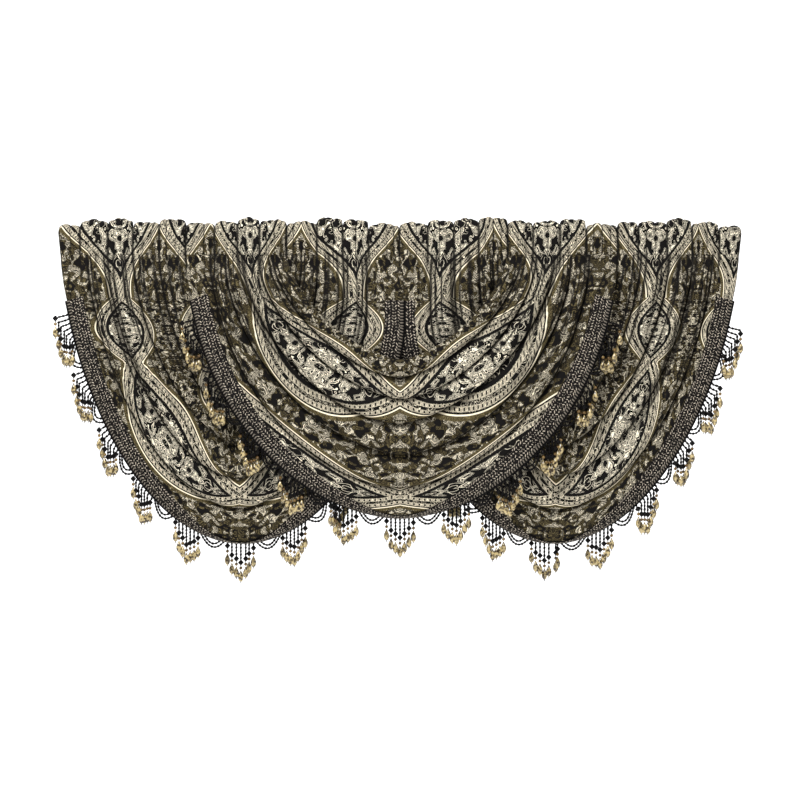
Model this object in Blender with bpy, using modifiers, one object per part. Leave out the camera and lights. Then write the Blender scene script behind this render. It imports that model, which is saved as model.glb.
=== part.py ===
"""A set of three gathered waterfall valances that share one hidden rod.

Each valance has two gathered rod sleeves, a cascade of U-shaped folds that hangs between
them, a woven braid along the curved hem, and a beaded fringe under the braid. The middle
valance hangs in front of the other two. Metres, +Z up, front towards -Y, and the origin is
at the middle of the top edge, on the line of the rod.
"""

import math
import random
from collections import namedtuple

import bmesh
import bpy
import numpy as np
from mathutils import Vector

# The cloth and the way it hangs
CLOTH = 0.0020
HEADING = 0.0911
SEAM_GAP = 0.0008
SEAM_STAND = 0.0060
SEAM_RELIEF = 0.0060
TUCK = 0.0090
TUCK_AT_SEAM = 0.0054
TUCK_REACH = 0.45
NECK_START = 0.22
LOW_RIDGE = 1.5
HEM_EASE = 0.35
CURL_START = 3
CURL_SPREAD = 8
LIP = 0.0060
FLARE = 0.0060
FLARE_DROP = 0.1500
KNEE = 0.20
SIDE_STEPS = 2
FOLD_STEPS = (0.35, 0.75, 1.0)

# The rod sleeve, as its half opening and the height of its corners under the top edge
SLEEVE_HALF = 0.0135
SLEEVE_LOW = 0.0740
SLEEVE_HIGH = 0.0340
SLEEVE_SWELL = 0.0090
CROWN_ROUND = 0.0050
CROWN_SHARE = 0.6
HEAD_NOTCH = 0.0140
HEAD_ROUND = 0.6
HEAD_STEPS = 4

# The braid, and the narrow tape that the fringe hangs from
BRAID_WIDTH = 0.0425
BRAID_START = 0.2050
BRAID_STEPS = 20
LEAST_BAND = 1.2
BRAID_LIFT = 0.0027
TAPE_GAP = 0.0006
TAPE_WIDTH = 0.0042
TAPE_DEPTH = 0.0030
TAPE_STEPS = 2 * BRAID_STEPS

# The fringe: groups of seven strands, each ending in a drop, with a loop between groups
STRAND_LENGTHS = (0.063, 0.080, 0.088, 0.098, 0.089, 0.079, 0.067)
STRAND_PITCH = 0.0110
GROUP_PITCH = 0.1430
SIDE_GROUPS = 5
STRAND_RADIUS = 0.0011
DROP_RADIUS = 0.0043
DROP_LENGTH = 0.0270
DROP_WIDEST = 0.0090
LENGTH_SPREAD = 0.0030
LANE_PITCH = 0.0068
LANE_STAGGER = 0.0046
ELBOW = 0.0055
ELBOW_SHARE = 0.23
ELBOW_DIP = 0.0022
LOOP_RADIUS = 0.0012
LOOP_SPAN = 0.0620
LOOP_SAG = 0.0240
LOOP_STEPS = 4
WALK_STEPS = 240
NEARBY = 0.10
NEARBY_TURN = 0.01
SEED = 11
BACKWARDS = Vector((0.0, 1.0, 0.0))

# A crease runs as one U from the left heading to the right one. Left and right are its
# distances from the valance's axis at the heading, and drop is its depth on the axis. Side
# and middle say how far the fold above it stands out on its way down and on the axis, and
# wander lowers it on the left and raises it on the right.
Crease = namedtuple("Crease", "left right drop side middle wander")

# A head is one rounded gather of a sleeve: its width, and how far its top lies under the
# highest one.
Head = namedtuple("Head", "width drop")

Sleeve = namedtuple("Sleeve", "start heads")

# Stand is how far in front of the rod the folds hang, which they reach at release under the
# heading, and curl is how far the hem turns back on the axis. The rounds are the two powers
# of a U: 2 and 2 give an ellipse, less a point at the axis, more a boxy side. Straight is
# how far the hem falls upright before its curve, and hidden counts the fringe groups left
# out, both at the left and at the right end. Fringe_shift moves the middle group along the
# hem.
Valance = namedtuple(
    "Valance",
    "name axis stand release curl neck_round hem_left hem_right straight creases sleeves "
    "hidden fringe_shift",
)

LEFT = Valance(
    name="left",
    axis=-0.391,
    stand=0.016,
    release=0.090,
    curl=0.030,
    neck_round=(1.60, 1.55),
    hem_left=(1.92, 1.62),
    hem_right=(1.90, 1.55),
    straight=(0.0, 0.165),
    creases=(
        Crease(0.135, 0.117, 0.446, 0.000, 0.000, 0.000),
        Crease(0.198, 0.150, 0.499, 0.020, 0.012, 0.004),
        Crease(0.262, 0.188, 0.555, 0.024, 0.016, -0.006),
        Crease(0.323, 0.252, 0.635, 0.025, 0.018, 0.008),
        Crease(0.372, 0.306, 0.708, 0.022, 0.016, 0.003),
        Crease(0.4325, 0.381, 0.7958, 0.014, 0.012, 0.000),
    ),
    sleeves=(
        Sleeve(
            -0.838,
            (
                Head(0.056, 0.018),
                Head(0.068, 0.007),
                Head(0.061, 0.004),
                Head(0.064, 0.011),
                Head(0.064, 0.004),
            ),
        ),
        Sleeve(
            -0.277,
            (
                Head(0.074, 0.011),
                Head(0.063, 0.001),
                Head(0.063, 0.006),
                Head(0.075, 0.016),
            ),
        ),
    ),
    hidden=(0, 2),
    fringe_shift=0.0,
)

CENTRE = Valance(
    name="centre",
    axis=0.0,
    stand=0.054,
    release=0.050,
    curl=0.034,
    neck_round=(1.50, 1.55),
    hem_left=(1.80, 2.00),
    hem_right=(1.80, 2.00),
    straight=(0.0, 0.0),
    creases=(
        Crease(0.281, 0.264, 0.344, 0.000, 0.000, 0.000),
        Crease(0.313, 0.298, 0.390, 0.022, 0.016, 0.003),
        Crease(0.347, 0.334, 0.441, 0.024, 0.015, -0.004),
        Crease(0.385, 0.377, 0.502, 0.026, 0.018, 0.006),
        Crease(0.425, 0.416, 0.577, 0.027, 0.020, -0.005),
        Crease(0.458, 0.457, 0.657, 0.022, 0.018, 0.004),
        Crease(0.5135, 0.521, 0.7327, 0.014, 0.012, 0.000),
    ),
    sleeves=(
        Sleeve(
            -0.5237,
            (
                Head(0.0706, 0.013),
                Head(0.0557, 0.010),
                Head(0.0537, 0.002),
                Head(0.0654, 0.006),
            ),
        ),
        Sleeve(
            0.2638,
            (
                Head(0.0618, 0.009),
                Head(0.0658, 0.009),
                Head(0.0639, 0.004),
                Head(0.0764, 0.016),
            ),
        ),
    ),
    hidden=(0, 0),
    fringe_shift=0.0,
)

RIGHT = Valance(
    name="right",
    axis=0.382,
    stand=0.016,
    release=0.090,
    curl=0.030,
    neck_round=(1.60, 1.55),
    hem_left=(1.90, 1.55),
    hem_right=(1.85, 1.66),
    straight=(0.165, 0.0),
    creases=(
        Crease(0.124, 0.154, 0.442, 0.000, 0.000, 0.000),
        Crease(0.156, 0.208, 0.494, 0.019, 0.013, -0.004),
        Crease(0.188, 0.277, 0.560, 0.025, 0.015, 0.005),
        Crease(0.247, 0.334, 0.628, 0.024, 0.018, -0.007),
        Crease(0.303, 0.380, 0.712, 0.023, 0.016, -0.003),
        Crease(0.371, 0.440, 0.7958, 0.014, 0.012, 0.000),
    ),
    sleeves=(
        Sleeve(
            -0.0007,
            (
                Head(0.0686, 0.013),
                Head(0.0636, 0.007),
                Head(0.0607, 0.004),
                Head(0.0703, 0.000),
            ),
        ),
        Sleeve(
            0.533,
            (
                Head(0.050, 0.011),
                Head(0.070, 0.010),
                Head(0.061, 0.004),
                Head(0.066, 0.012),
                Head(0.058, 0.021),
            ),
        ),
    ),
    hidden=(2, 0),
    fringe_shift=-0.018,
)

# Colour, roughness and metallic value of each finish
DAMASK = ((0.155, 0.135, 0.095, 1.0), 0.78, 0.0)
BRAID = ((0.030, 0.027, 0.025, 1.0), 0.85, 0.0)
BEADS = ((0.330, 0.240, 0.110, 1.0), 0.22, 0.0)


def clear_scene():
    """Starts from an empty scene, with a collection for the valances and one for helpers."""
    for obj in list(bpy.data.objects):
        bpy.data.objects.remove(obj)
    made = []
    for name in ("waterfall_valance", "working_shapes"):
        collection = bpy.data.collections.new(name)
        bpy.context.scene.collection.children.link(collection)
        made.append(collection)
    made[1].hide_render = True
    return made


def finish(name, look):
    """A Principled material in one plain finish."""
    colour, roughness, metallic = look
    material = bpy.data.materials.new(name)
    material.use_nodes = True
    shader = material.node_tree.nodes["Principled BSDF"]
    shader.inputs["Base Color"].default_value = colour
    shader.inputs["Roughness"].default_value = roughness
    shader.inputs["Metallic"].default_value = metallic
    return material


def object_from(bm, name, collection, look):
    """Turns a bmesh into a named object with its own material."""
    mesh = bpy.data.meshes.new(name)
    bm.to_mesh(mesh)
    bm.free()
    mesh.materials.append(finish(name, look))
    obj = bpy.data.objects.new(name, mesh)
    collection.objects.link(obj)
    return obj


def thicken(obj, thickness):
    """Gives an open sheet its thickness, half to each side."""
    wall = obj.modifiers.new("thickness", "SOLIDIFY")
    wall.thickness = thickness
    wall.offset = 0.0
    wall.use_quality_normals = True


def blend(low, high, share):
    return low + (high - low) * share


def ease(share):
    """A soft step from 0 to 1."""
    held = min(max(share, 0.0), 1.0)
    return held * held * (3.0 - 2.0 * held)


def on_side(crease, turn):
    """A crease's distance from the axis at the heading, on the side that turn lies on."""
    return crease.left if turn < math.pi / 2 else crease.right


def fall_at(valance, depth, share, turn):
    """How far a crease has fallen from the heading: upright first, where the hem does so,
    then along its U. Also the turn left for the U."""
    near = turn if turn < math.pi / 2 else math.pi - turn
    upright = valance.straight[turn > math.pi / 2] * share
    hem_round = valance.hem_left if turn < math.pi / 2 else valance.hem_right
    power_z = blend(valance.neck_round[1], hem_round[1], share)
    knee = KNEE * share if upright else 0.0
    near = max(near, 0.0)
    left = max(near - knee, 0.0) * (math.pi / 2) / (math.pi / 2 - knee)
    first = min(near / knee, 1.0) if knee else 0.0
    fall = upright * first + (depth - upright) * abs(math.sin(left)) ** (2.0 / power_z)
    return fall, left


def braid_share(valance, turn):
    """Where the braid starts, as a share of the way from the last crease to the hem."""
    inner, outer = valance.creases[-2:]
    wide = on_side(outer, turn) - on_side(inner, turn)
    low = outer.drop - inner.drop
    span = math.hypot(wide * math.cos(turn), low * math.sin(turn))
    return 1.0 - BRAID_WIDTH / max(span, BRAID_WIDTH * LEAST_BAND)


def relief(valance, band, across, turn):
    """The rounded section of a fold: 0 in its creases, 1 on its ridge."""
    high = math.sin(turn) ** 2
    if band == len(valance.creases) - 2:
        start = braid_share(valance, turn)
        if across < start:
            return math.sin(math.pi / 2 * across / start)
        return 1.0 - HEM_EASE * (across - start) / (1.0 - start)
    if band == 0:
        across = blend(NECK_START, 1.0, across)
    return math.sin(math.pi * across ** blend(1.0, LOW_RIDGE, high))


def on_cloth(valance, band, across, turn):
    """The point of the cloth at a share of a fold's width and a turn from 0, at the left
    heading, over a right angle, on the axis, to a half turn, at the right heading."""
    inner, outer = valance.creases[band : band + 2]
    neck, hem = valance.creases[0], valance.creases[-1]
    reach = blend(on_side(inner, turn), on_side(outer, turn), across)
    wander = blend(inner.wander, outer.wander, across) * math.sin(2.0 * turn)
    drop = blend(inner.drop, outer.drop, across)
    share = (drop - neck.drop) / (hem.drop - neck.drop)
    hem_round = valance.hem_left if turn < math.pi / 2 else valance.hem_right
    power_x = blend(valance.neck_round[0], hem_round[0], share)
    fall, left = fall_at(valance, drop + wander - HEADING, share, turn)
    high = math.sin(left)
    reach = reach * abs(math.cos(left)) ** (2.0 / power_x)
    reach += FLARE * share**3 * (1.0 - ease(fall / FLARE_DROP))
    x = valance.axis - math.copysign(reach, math.pi / 2 - turn)
    released = ease(fall / valance.release)
    ridge = relief(valance, band, across, turn)
    stands = blend(outer.side, outer.middle, high**2)
    forward = blend(SEAM_STAND, valance.stand, released)
    forward += blend(SEAM_RELIEF, stands, released) * ridge
    lowered = LIP * ridge * high**2 * (band < len(valance.creases) - 2)
    if band == len(valance.creases) - 2:
        forward -= valance.curl * across**CURL_START * high**CURL_SPREAD
    return Vector((x, -forward, -(HEADING + SEAM_GAP + fall + lowered)))


def tucked(valance, turn):
    """The top edge of the cascade turns back and down behind its first fold."""
    edge = on_cloth(valance, 0, 0.0, turn)
    inside = on_cloth(valance, 0, TUCK_REACH, turn)
    released = ease((-edge.z - HEADING) / valance.release)
    depth = blend(TUCK_AT_SEAM, TUCK, released)
    behind = -blend(SEAM_STAND, valance.stand, released) + depth
    return Vector((inside.x, behind, inside.z))


def cloth_stations(valance):
    """Each fold with the shares of its width at which the cloth has a row of points."""
    stations = [(0, 0.0)]
    for band in range(len(valance.creases) - 2):
        stations += [(band, across) for across in FOLD_STEPS]
    return stations


def hem_stations(valance, turn):
    """The rows from the last crease to the hem: before the braid, and across it."""
    band = len(valance.creases) - 2
    start = braid_share(valance, turn)
    return [(band, across) for across in (start * 0.5, start, (1.0 + start) / 2, 1.0)]


def turns(steps, first=0.0, last=math.pi):
    return [blend(first, last, step / steps) for step in range(steps + 1)]


def braid_turns(valance, steps):
    """Turns along the stretch of the hem that carries the braid and the fringe."""
    depth = valance.creases[-1].drop - HEADING
    tried = turns(WALK_STEPS)
    falls = [fall_at(valance, depth, 1.0, turn)[0] for turn in tried]
    half = WALK_STEPS // 2
    start = BRAID_START - HEADING
    first = np.interp(start, falls[: half + 1], tried[: half + 1])
    last = np.interp(start, falls[:half:-1], tried[:half:-1])
    return turns(steps, float(first), float(last))


def cloth_turns(valance):
    """Turns from heading to heading, with those of the braid among them."""
    braid = braid_turns(valance, BRAID_STEPS)
    before = turns(SIDE_STEPS, 0.0, braid[0])[:-1]
    after = turns(SIDE_STEPS, braid[-1], math.pi)[1:]
    return before + braid + after


def sheet(columns):
    """An open sheet from columns of points: a grid whose points move to their places."""
    bm = bmesh.new()
    bmesh.ops.create_grid(
        bm, x_segments=len(columns) - 1, y_segments=len(columns[0]) - 1, size=1.0
    )
    bm.verts.ensure_lookup_table()
    places = [point for row in zip(*columns) for point in row]
    for vert, place in zip(bm.verts, places):
        vert.co = place
    bm.normal_update()
    return bm


def panel_columns(valance, along):
    """A column of points from the tucked edge to the hem for each turn."""
    columns = []
    for turn in along:
        column = [tucked(valance, turn)]
        stations = cloth_stations(valance) + hem_stations(valance, turn)
        column += [on_cloth(valance, band, across, turn) for band, across in stations]
        columns.append(column)
    return columns


def make_panel(valance, collection):
    """The draped cloth of one valance, a single sheet in its folds."""
    columns = panel_columns(valance, cloth_turns(valance))
    panel = object_from(sheet(columns), f"{valance.name}_panel", collection, DAMASK)
    thicken(panel, CLOTH)
    return panel


def make_braid(valance, collection):
    """The flat woven braid, sewn on the front of the cloth along the hem."""
    columns = panel_columns(valance, braid_turns(valance, BRAID_STEPS))
    bm = sheet([column[-3:] for column in columns])
    for vert in bm.verts:
        facing = vert.normal if vert.normal.y < 0.0 else -vert.normal
        vert.co += facing * BRAID_LIFT
    braid = object_from(bm, f"{valance.name}_braid", collection, BRAID)
    thicken(braid, CLOTH)
    return braid


def sleeve_section(top, swell):
    """One section of a rod sleeve, round from its seam: front, crown, back."""
    front = SLEEVE_HALF + swell
    shoulder = min(-SLEEVE_HIGH, top - 2.0 * CROWN_ROUND)
    return (
        (-(SEAM_STAND + swell / 2), -HEADING + CLOTH / 2 + SEAM_GAP / 4),
        (-(SLEEVE_HALF + swell / 2), -SLEEVE_LOW),
        (-front, shoulder),
        (-CROWN_SHARE * front, top - CROWN_ROUND),
        (0.0, top),
        (CROWN_SHARE * SLEEVE_HALF, top - CROWN_ROUND),
        (SLEEVE_HALF, shoulder),
        (SLEEVE_HALF, -SLEEVE_LOW),
    )


def sleeve_sections(sleeve):
    """(x, section) at each step along a sleeve, from head to head."""
    found = []
    start = sleeve.start
    for index, head in enumerate(sleeve.heads):
        last = index == len(sleeve.heads) - 1
        for step in range(HEAD_STEPS + last):
            share = step / HEAD_STEPS
            arch = abs(math.sin(math.pi * share))
            top = -head.drop - HEAD_NOTCH * (1.0 - arch**HEAD_ROUND)
            swell = SLEEVE_SWELL * arch
            found.append((start + head.width * share, sleeve_section(top, swell)))
        start += head.width
    return found


def make_sleeve(sleeve, name, collection):
    """A gathered rod sleeve, open at both ends for the rod."""
    sections = sleeve_sections(sleeve)
    columns = []
    for x, section in sections:
        ring = [Vector((x, y, z)) for y, z in section]
        columns.append(ring + ring[:1])
    bm = sheet(columns)
    bmesh.ops.remove_doubles(bm, verts=bm.verts[:], dist=SEAM_GAP / 10)
    bmesh.ops.recalc_face_normals(bm, faces=bm.faces[:])
    obj = object_from(bm, name, collection, DAMASK)
    thicken(obj, CLOTH)
    return obj


def hem_frame(valance, turn):
    """At the hem: the point, the way out past the edge and the way the front faces."""
    band = len(valance.creases) - 2
    point = on_cloth(valance, band, 1.0, turn)
    outward = (point - on_cloth(valance, band, 1.0 - NEARBY, turn)).normalized()
    ahead = on_cloth(valance, band, 1.0, min(turn + NEARBY_TURN, math.pi))
    behind = on_cloth(valance, band, 1.0, max(turn - NEARBY_TURN, 0.0))
    front = outward.cross(ahead - behind).normalized()
    if front.y > 0.0:
        front.negate()
    return point, outward, front


def tape_point(valance, turn, across):
    """A point of the fringe's tape, at a share of its width."""
    point, outward, front = hem_frame(valance, turn)
    return (
        point + outward * (TAPE_GAP + TAPE_WIDTH * across) + front * (BRAID_LIFT / 2)
    )


def hem_walk(valance):
    """Lengths along the tape from the axis, negative to the left, and the turn at each."""
    steps = turns(WALK_STEPS)
    points = [tape_point(valance, turn, 0.5) for turn in steps]
    lengths = [0.0]
    for first, second in zip(points, points[1:]):
        lengths.append(lengths[-1] + (second - first).length)
    middle = np.interp(math.pi / 2, steps, lengths)
    return [length - middle for length in lengths], steps


def tube(bm, points, radii):
    """A three-sided strand along points, pointed where its last radius is 0."""
    first = (points[1] - points[0]).normalized()
    across = first.cross(BACKWARDS).normalized()
    made = bmesh.ops.create_circle(bm, cap_ends=True, segments=3, radius=radii[0])
    cap = made["verts"][0].link_faces[0]
    for index, (point, radius) in enumerate(zip(points, radii)):
        if index:
            grown = bmesh.ops.extrude_face_region(bm, geom=[cap])["geom"]
            if index > 1:
                bmesh.ops.delete(bm, geom=[cap], context="FACES_ONLY")
            cap = next(item for item in grown if isinstance(item, bmesh.types.BMFace))
        ahead = points[min(index + 1, len(points) - 1)]
        way = (ahead - points[max(index - 1, 0)]).normalized()
        side = (across - way * across.dot(way)).normalized()
        other = way.cross(side)
        for number, vert in enumerate(cap.verts):
            angle = 2.0 * math.pi * number / 3.0
            spoke = side * math.cos(angle) + other * math.sin(angle)
            vert.co = point + spoke * radius
    if radii[-1] == 0.0:
        bmesh.ops.remove_doubles(bm, verts=cap.verts[:], dist=STRAND_RADIUS / 10)


def strand_path(root, outward, lane, length, stagger):
    """Down in its own lane to the tip of its drop, on a steep hem out past the tape first."""
    bottom = root.z - length
    points = [root]
    if stagger:
        sunk = Vector((0.0, stagger * ELBOW_SHARE, -ELBOW_DIP))
        points.append(root + outward * ELBOW + sunk)
    below = root.y + stagger
    for height in (DROP_LENGTH, DROP_WIDEST, 0.0):
        points.append(Vector((lane, below, bottom + height)))
    return points


def add_group(bm, valance, walk, group, draw):
    """Seven strands side by side, which spread out in lanes where the hem is steep."""
    count = len(STRAND_LENGTHS)
    roots = []
    for index in range(count):
        middle = group * GROUP_PITCH + valance.fringe_shift
        length = middle + (index - count // 2) * STRAND_PITCH
        turn = float(np.interp(length, *walk))
        roots.append((tape_point(valance, turn, 0.5), hem_frame(valance, turn)[1]))
    keeper = roots[0][0] if group > 0 else roots[-1][0]
    keeper_index = 0 if group > 0 else count - 1
    shift = ELBOW if abs(group) > 1 else 0.0
    start = keeper.x + math.copysign(shift, group)
    for index, (root, outward) in enumerate(roots):
        natural = root.x - keeper.x
        wanted = (index - keeper_index) * LANE_PITCH
        spread = natural if abs(natural) > abs(wanted) else wanted
        steep = abs(natural) < abs(wanted) or index == keeper_index and shift > 0.0
        lane = start + spread if shift else root.x
        stagger = LANE_STAGGER * (1 if index % 2 else -1) * steep
        length = STRAND_LENGTHS[index] + draw.uniform(-LENGTH_SPREAD, LENGTH_SPREAD)
        points = strand_path(root, outward, lane, length, stagger)
        radii = [STRAND_RADIUS] * (len(points) - 2) + [DROP_RADIUS, 0.0]
        tube(bm, points, radii)


def add_loop(bm, valance, walk, middle):
    """A beaded loop that swings under the hem between two groups."""
    ends = []
    for side in (-0.5, 0.5):
        turn = float(np.interp(middle + side * LOOP_SPAN, *walk))
        ends.append(tape_point(valance, turn, 0.5))
    out = hem_frame(valance, float(np.interp(middle, *walk)))[1]
    points = []
    for step in range(LOOP_STEPS + 1):
        share = step / LOOP_STEPS
        swing = math.sin(math.pi * share) if 0 < step < LOOP_STEPS else 0.0
        points.append(ends[0].lerp(ends[1], share) + out * (LOOP_SAG * swing))
    tube(bm, points, [LOOP_RADIUS] * len(points))


def make_fringe(valance, collection, helpers):
    """The tape with its strands and loops, one piece that hangs under the braid."""
    tape_columns = [
        [tape_point(valance, turn, across) for across in (0.0, 1.0)]
        for turn in braid_turns(valance, TAPE_STEPS)
    ]
    tape = object_from(sheet(tape_columns), f"{valance.name}_fringe", collection, BEADS)
    thicken(tape, TAPE_DEPTH)
    walk = hem_walk(valance)
    draw = random.Random(SEED)
    bm = bmesh.new()
    groups = range(-SIDE_GROUPS + valance.hidden[0], SIDE_GROUPS + 1 - valance.hidden[1])
    for group in groups:
        add_group(bm, valance, walk, group, draw)
    for group in groups[:-1]:
        middle = (group + 0.5) * GROUP_PITCH + valance.fringe_shift
        add_loop(bm, valance, walk, middle)
    bmesh.ops.recalc_face_normals(bm, faces=bm.faces[:])
    strands = object_from(bm, f"{valance.name}_strands", helpers, BEADS)
    strands.hide_render = True
    strands.display_type = "WIRE"
    join = tape.modifiers.new("strands", "BOOLEAN")
    join.operation = "UNION"
    join.solver = "EXACT"
    join.object = strands
    return tape


def build():
    collection, helpers = clear_scene()
    for valance in (LEFT, CENTRE, RIGHT):
        make_panel(valance, collection)
        make_braid(valance, collection)
        make_fringe(valance, collection, helpers)
        for side, sleeve in zip(("left", "right"), valance.sleeves):
            make_sleeve(sleeve, f"{valance.name}_heading_{side}", collection)


build()
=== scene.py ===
# %% [markdown]
# # A set of three gathered waterfall valances
#
# A waterfall valance is a short curtain that hangs in a cascade of U-shaped folds between
# two gathered rod sleeves. Here three of them share one rod. Each has a dark woven braid
# along its hem and a beaded fringe under the braid. The solid model gives the true size and
# the main folds, and this script dresses it: finer gathers, the woven pattern, the braid's
# relief and every bead.
#
# The solid model is loaded first and stays fixed, so each new piece can be placed by its
# numbers. The finished pieces have to stay in it.

import math
import random
from collections import namedtuple

import bmesh
import bpy
import numpy as np
from mathutils import Matrix, Vector


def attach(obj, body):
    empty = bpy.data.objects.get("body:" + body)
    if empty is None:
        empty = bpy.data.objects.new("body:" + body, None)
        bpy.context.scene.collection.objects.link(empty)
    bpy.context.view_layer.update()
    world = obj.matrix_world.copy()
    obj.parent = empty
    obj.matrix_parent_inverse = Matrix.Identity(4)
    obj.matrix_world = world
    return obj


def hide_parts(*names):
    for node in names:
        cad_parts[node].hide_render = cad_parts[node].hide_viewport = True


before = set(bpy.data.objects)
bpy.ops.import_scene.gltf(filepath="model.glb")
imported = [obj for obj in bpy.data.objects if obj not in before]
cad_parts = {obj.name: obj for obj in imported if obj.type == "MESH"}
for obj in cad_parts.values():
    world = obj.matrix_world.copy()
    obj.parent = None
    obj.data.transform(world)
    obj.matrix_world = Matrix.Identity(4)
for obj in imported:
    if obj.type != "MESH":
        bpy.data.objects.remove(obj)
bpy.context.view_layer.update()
print("solids:", sorted(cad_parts))

# %% [markdown]
# ## The camera and the studio
#
# The valances are seen straight on, against white. A long lens far away keeps the ends of
# the set as large as its middle. The wall and the floor are one sheet that curves from
# upright to flat, as paper does in a photographer's studio, so no edge shows behind the
# cloth. One face is extruded along that curve, which is quicker than joining a wall and a
# floor by hand. The paper glows a little, which keeps it white without a lamp of its own, and
# it stands far behind, so that there is room to look at the valances from behind too.

# %% Camera
PICTURE_WIDTH = 1.944
PICTURE_MIDDLE = -0.448
CAMERA_AWAY = 6.0
CLOTH_IN_FRONT = 0.05

camera_data = bpy.data.cameras.new("straight_on")
camera_data.sensor_width = 36.0
camera_data.lens = 36.0 * (CAMERA_AWAY - CLOTH_IN_FRONT) / PICTURE_WIDTH
camera = bpy.data.objects.new("straight_on", camera_data)
bpy.context.scene.collection.objects.link(camera)
camera.location = (0.0, -CAMERA_AWAY, PICTURE_MIDDLE)
camera.rotation_euler = (math.pi / 2, 0.0, 0.0)
bpy.context.scene.camera = camera
bpy.context.scene.view_settings.view_transform = "Standard"
print("lens:", round(camera_data.lens, 1), "mm")


# %% Wall and floor in one sheet
def plain_finish(name, colour, roughness):
    """A Principled material in one colour."""
    material = bpy.data.materials.new(name)
    material.use_nodes = True
    shader = material.node_tree.nodes["Principled BSDF"]
    shader.inputs["Base Color"].default_value = (*colour, 1.0)
    shader.inputs["Roughness"].default_value = roughness
    return material


def object_of(bm, name, material):
    """Turns a bmesh into an object with one material and smooth faces."""
    mesh = bpy.data.meshes.new(name)
    bm.to_mesh(mesh)
    bm.free()
    mesh.materials.append(material)
    mesh.polygons.foreach_set("use_smooth", [True] * len(mesh.polygons))
    obj = bpy.data.objects.new(name, mesh)
    bpy.context.scene.collection.objects.link(obj)
    return obj


STUDIO_HALF = 12.0
WALL_AWAY = 9.0
WALL_HIGH = 12.0
FLOOR_BELOW = 2.1
STUDIO_BEND = 2.0
BEND_STEPS = 16
PAPER_GLOW = 0.62

bm = bmesh.new()
first = bm.verts.new((-STUDIO_HALF, WALL_AWAY, WALL_HIGH))
second = bm.verts.new((STUDIO_HALF, WALL_AWAY, WALL_HIGH))
edge = bm.edges.new((first, second))
curve = []
for step in range(BEND_STEPS + 1):
    angle = math.pi / 2 * step / BEND_STEPS
    back = WALL_AWAY - STUDIO_BEND * (1.0 - math.cos(angle))
    curve.append((back, -FLOOR_BELOW + STUDIO_BEND * (1.0 - math.sin(angle))))
for back, height in curve + [(-STUDIO_HALF, -FLOOR_BELOW)]:
    grown = bmesh.ops.extrude_edge_only(bm, edges=[edge])["geom"]
    edge = next(item for item in grown if isinstance(item, bmesh.types.BMEdge))
    for vert in edge.verts:
        vert.co.y = back
        vert.co.z = height
paper = plain_finish("studio_paper", (0.93, 0.93, 0.93), 0.9)
glow = paper.node_tree.nodes["Principled BSDF"].inputs
glow["Emission Color"].default_value = (1.0, 1.0, 1.0, 1.0)
glow["Emission Strength"].default_value = PAPER_GLOW
studio = object_of(bm, "studio_paper", paper)

# %% [markdown]
# ## Light
#
# A plain soft studio light has no hard shadow. A large area light above and in front gives
# the folds their soft shading, a weaker one at the right opens the shadows, one behind lights
# the backs, and a white world fills the rest.


# %% Lights
def soft_light(name, place, aim, size, watts):
    """A square area light at a place, turned towards a point."""
    data = bpy.data.lights.new(name, "AREA")
    data.size = size
    data.energy = watts
    light = bpy.data.objects.new(name, data)
    bpy.context.scene.collection.objects.link(light)
    light.location = place
    way = Vector(aim) - Vector(place)
    light.rotation_euler = way.to_track_quat("-Z", "Y").to_euler()
    return light


AIM = (0.0, 0.0, -0.45)
WORLD_LIGHT = 0.38
soft_light("key", (-1.2, -2.2, 2.9), AIM, 1.2, 205.0)
soft_light("side", (3.2, -2.6, 0.4), AIM, 1.6, 30.0)
soft_light("behind", (1.5, 3.5, 2.6), AIM, 1.6, 60.0)

world = bpy.data.worlds.new("white_room")
world.use_nodes = True
sky = world.node_tree.nodes["Background"].inputs
sky["Color"].default_value = (1.0, 1.0, 1.0, 1.0)
sky["Strength"].default_value = WORLD_LIGHT
bpy.context.scene.world = world

# %% [markdown]
# ## The sizes of the three valances
#
# A crease runs as one U from the left heading to the right one, so a short table gives the
# whole cascade: how far each crease starts from the valance's axis at the left and at the
# right heading, and how deep it hangs on the axis. The numbers are those of the solid model,
# because the finished cloth has to hang where the solids do.

# %% Tables of creases and heads
Crease = namedtuple("Crease", "left right drop side middle wander")

# A head is one rounded gather of a sleeve: its width, how far its top lies under the
# highest one, and where its finer gathers are, as shares of its width.
Head = namedtuple("Head", "width drop gathers")
# A sleeve narrows a little from its crown to its seam at a free end of the set.
Sleeve = namedtuple("Sleeve", "start narrows heads")

# A fine gather is a small crease inside a fold. Its place counts folds from the neckline,
# and left and right say how far it runs from each heading to the axis, where 1 is all the way.
Gather = namedtuple("Gather", "place deep wide left right")

# Roll is how much of the braid turns under on the axis. Overlap and lean say how far the
# inner hem passes its neighbour's, and how far in front of it, at the left and at the right,
# and flare how far an outer hem widens at the heading. Columns say which column of the woven
# pattern lies on each crease, at the left heading, on the axis and at the right heading, and
# repeats count its repeats from the axis, up or down, at each depth under the rod.
Valance = namedtuple(
    "Valance",
    "name axis stand release roll neck_round hem_left hem_right straight overlap lean flare "
    "creases sleeves hidden fringe_shift gathers columns_left columns_axis columns_right "
    "repeats",
)


def table_of(kind, *values):
    """A table of named rows from plain ones."""
    return tuple(kind(*value) for value in values)


# What the two outer valances have in common
OUTER = dict(
    stand=0.016,
    release=0.090,
    roll=0.90,
    neck_round=(1.60, 1.55),
    flare=0.0060,
    columns_axis=((0.0, -1.0), (2.0, 0.0), (3.5, 1.0), (5.0, 2.2)),
    repeats=((0.0, -2.42), (0.200, -2.0), (0.355, -1.0)),
)

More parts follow.
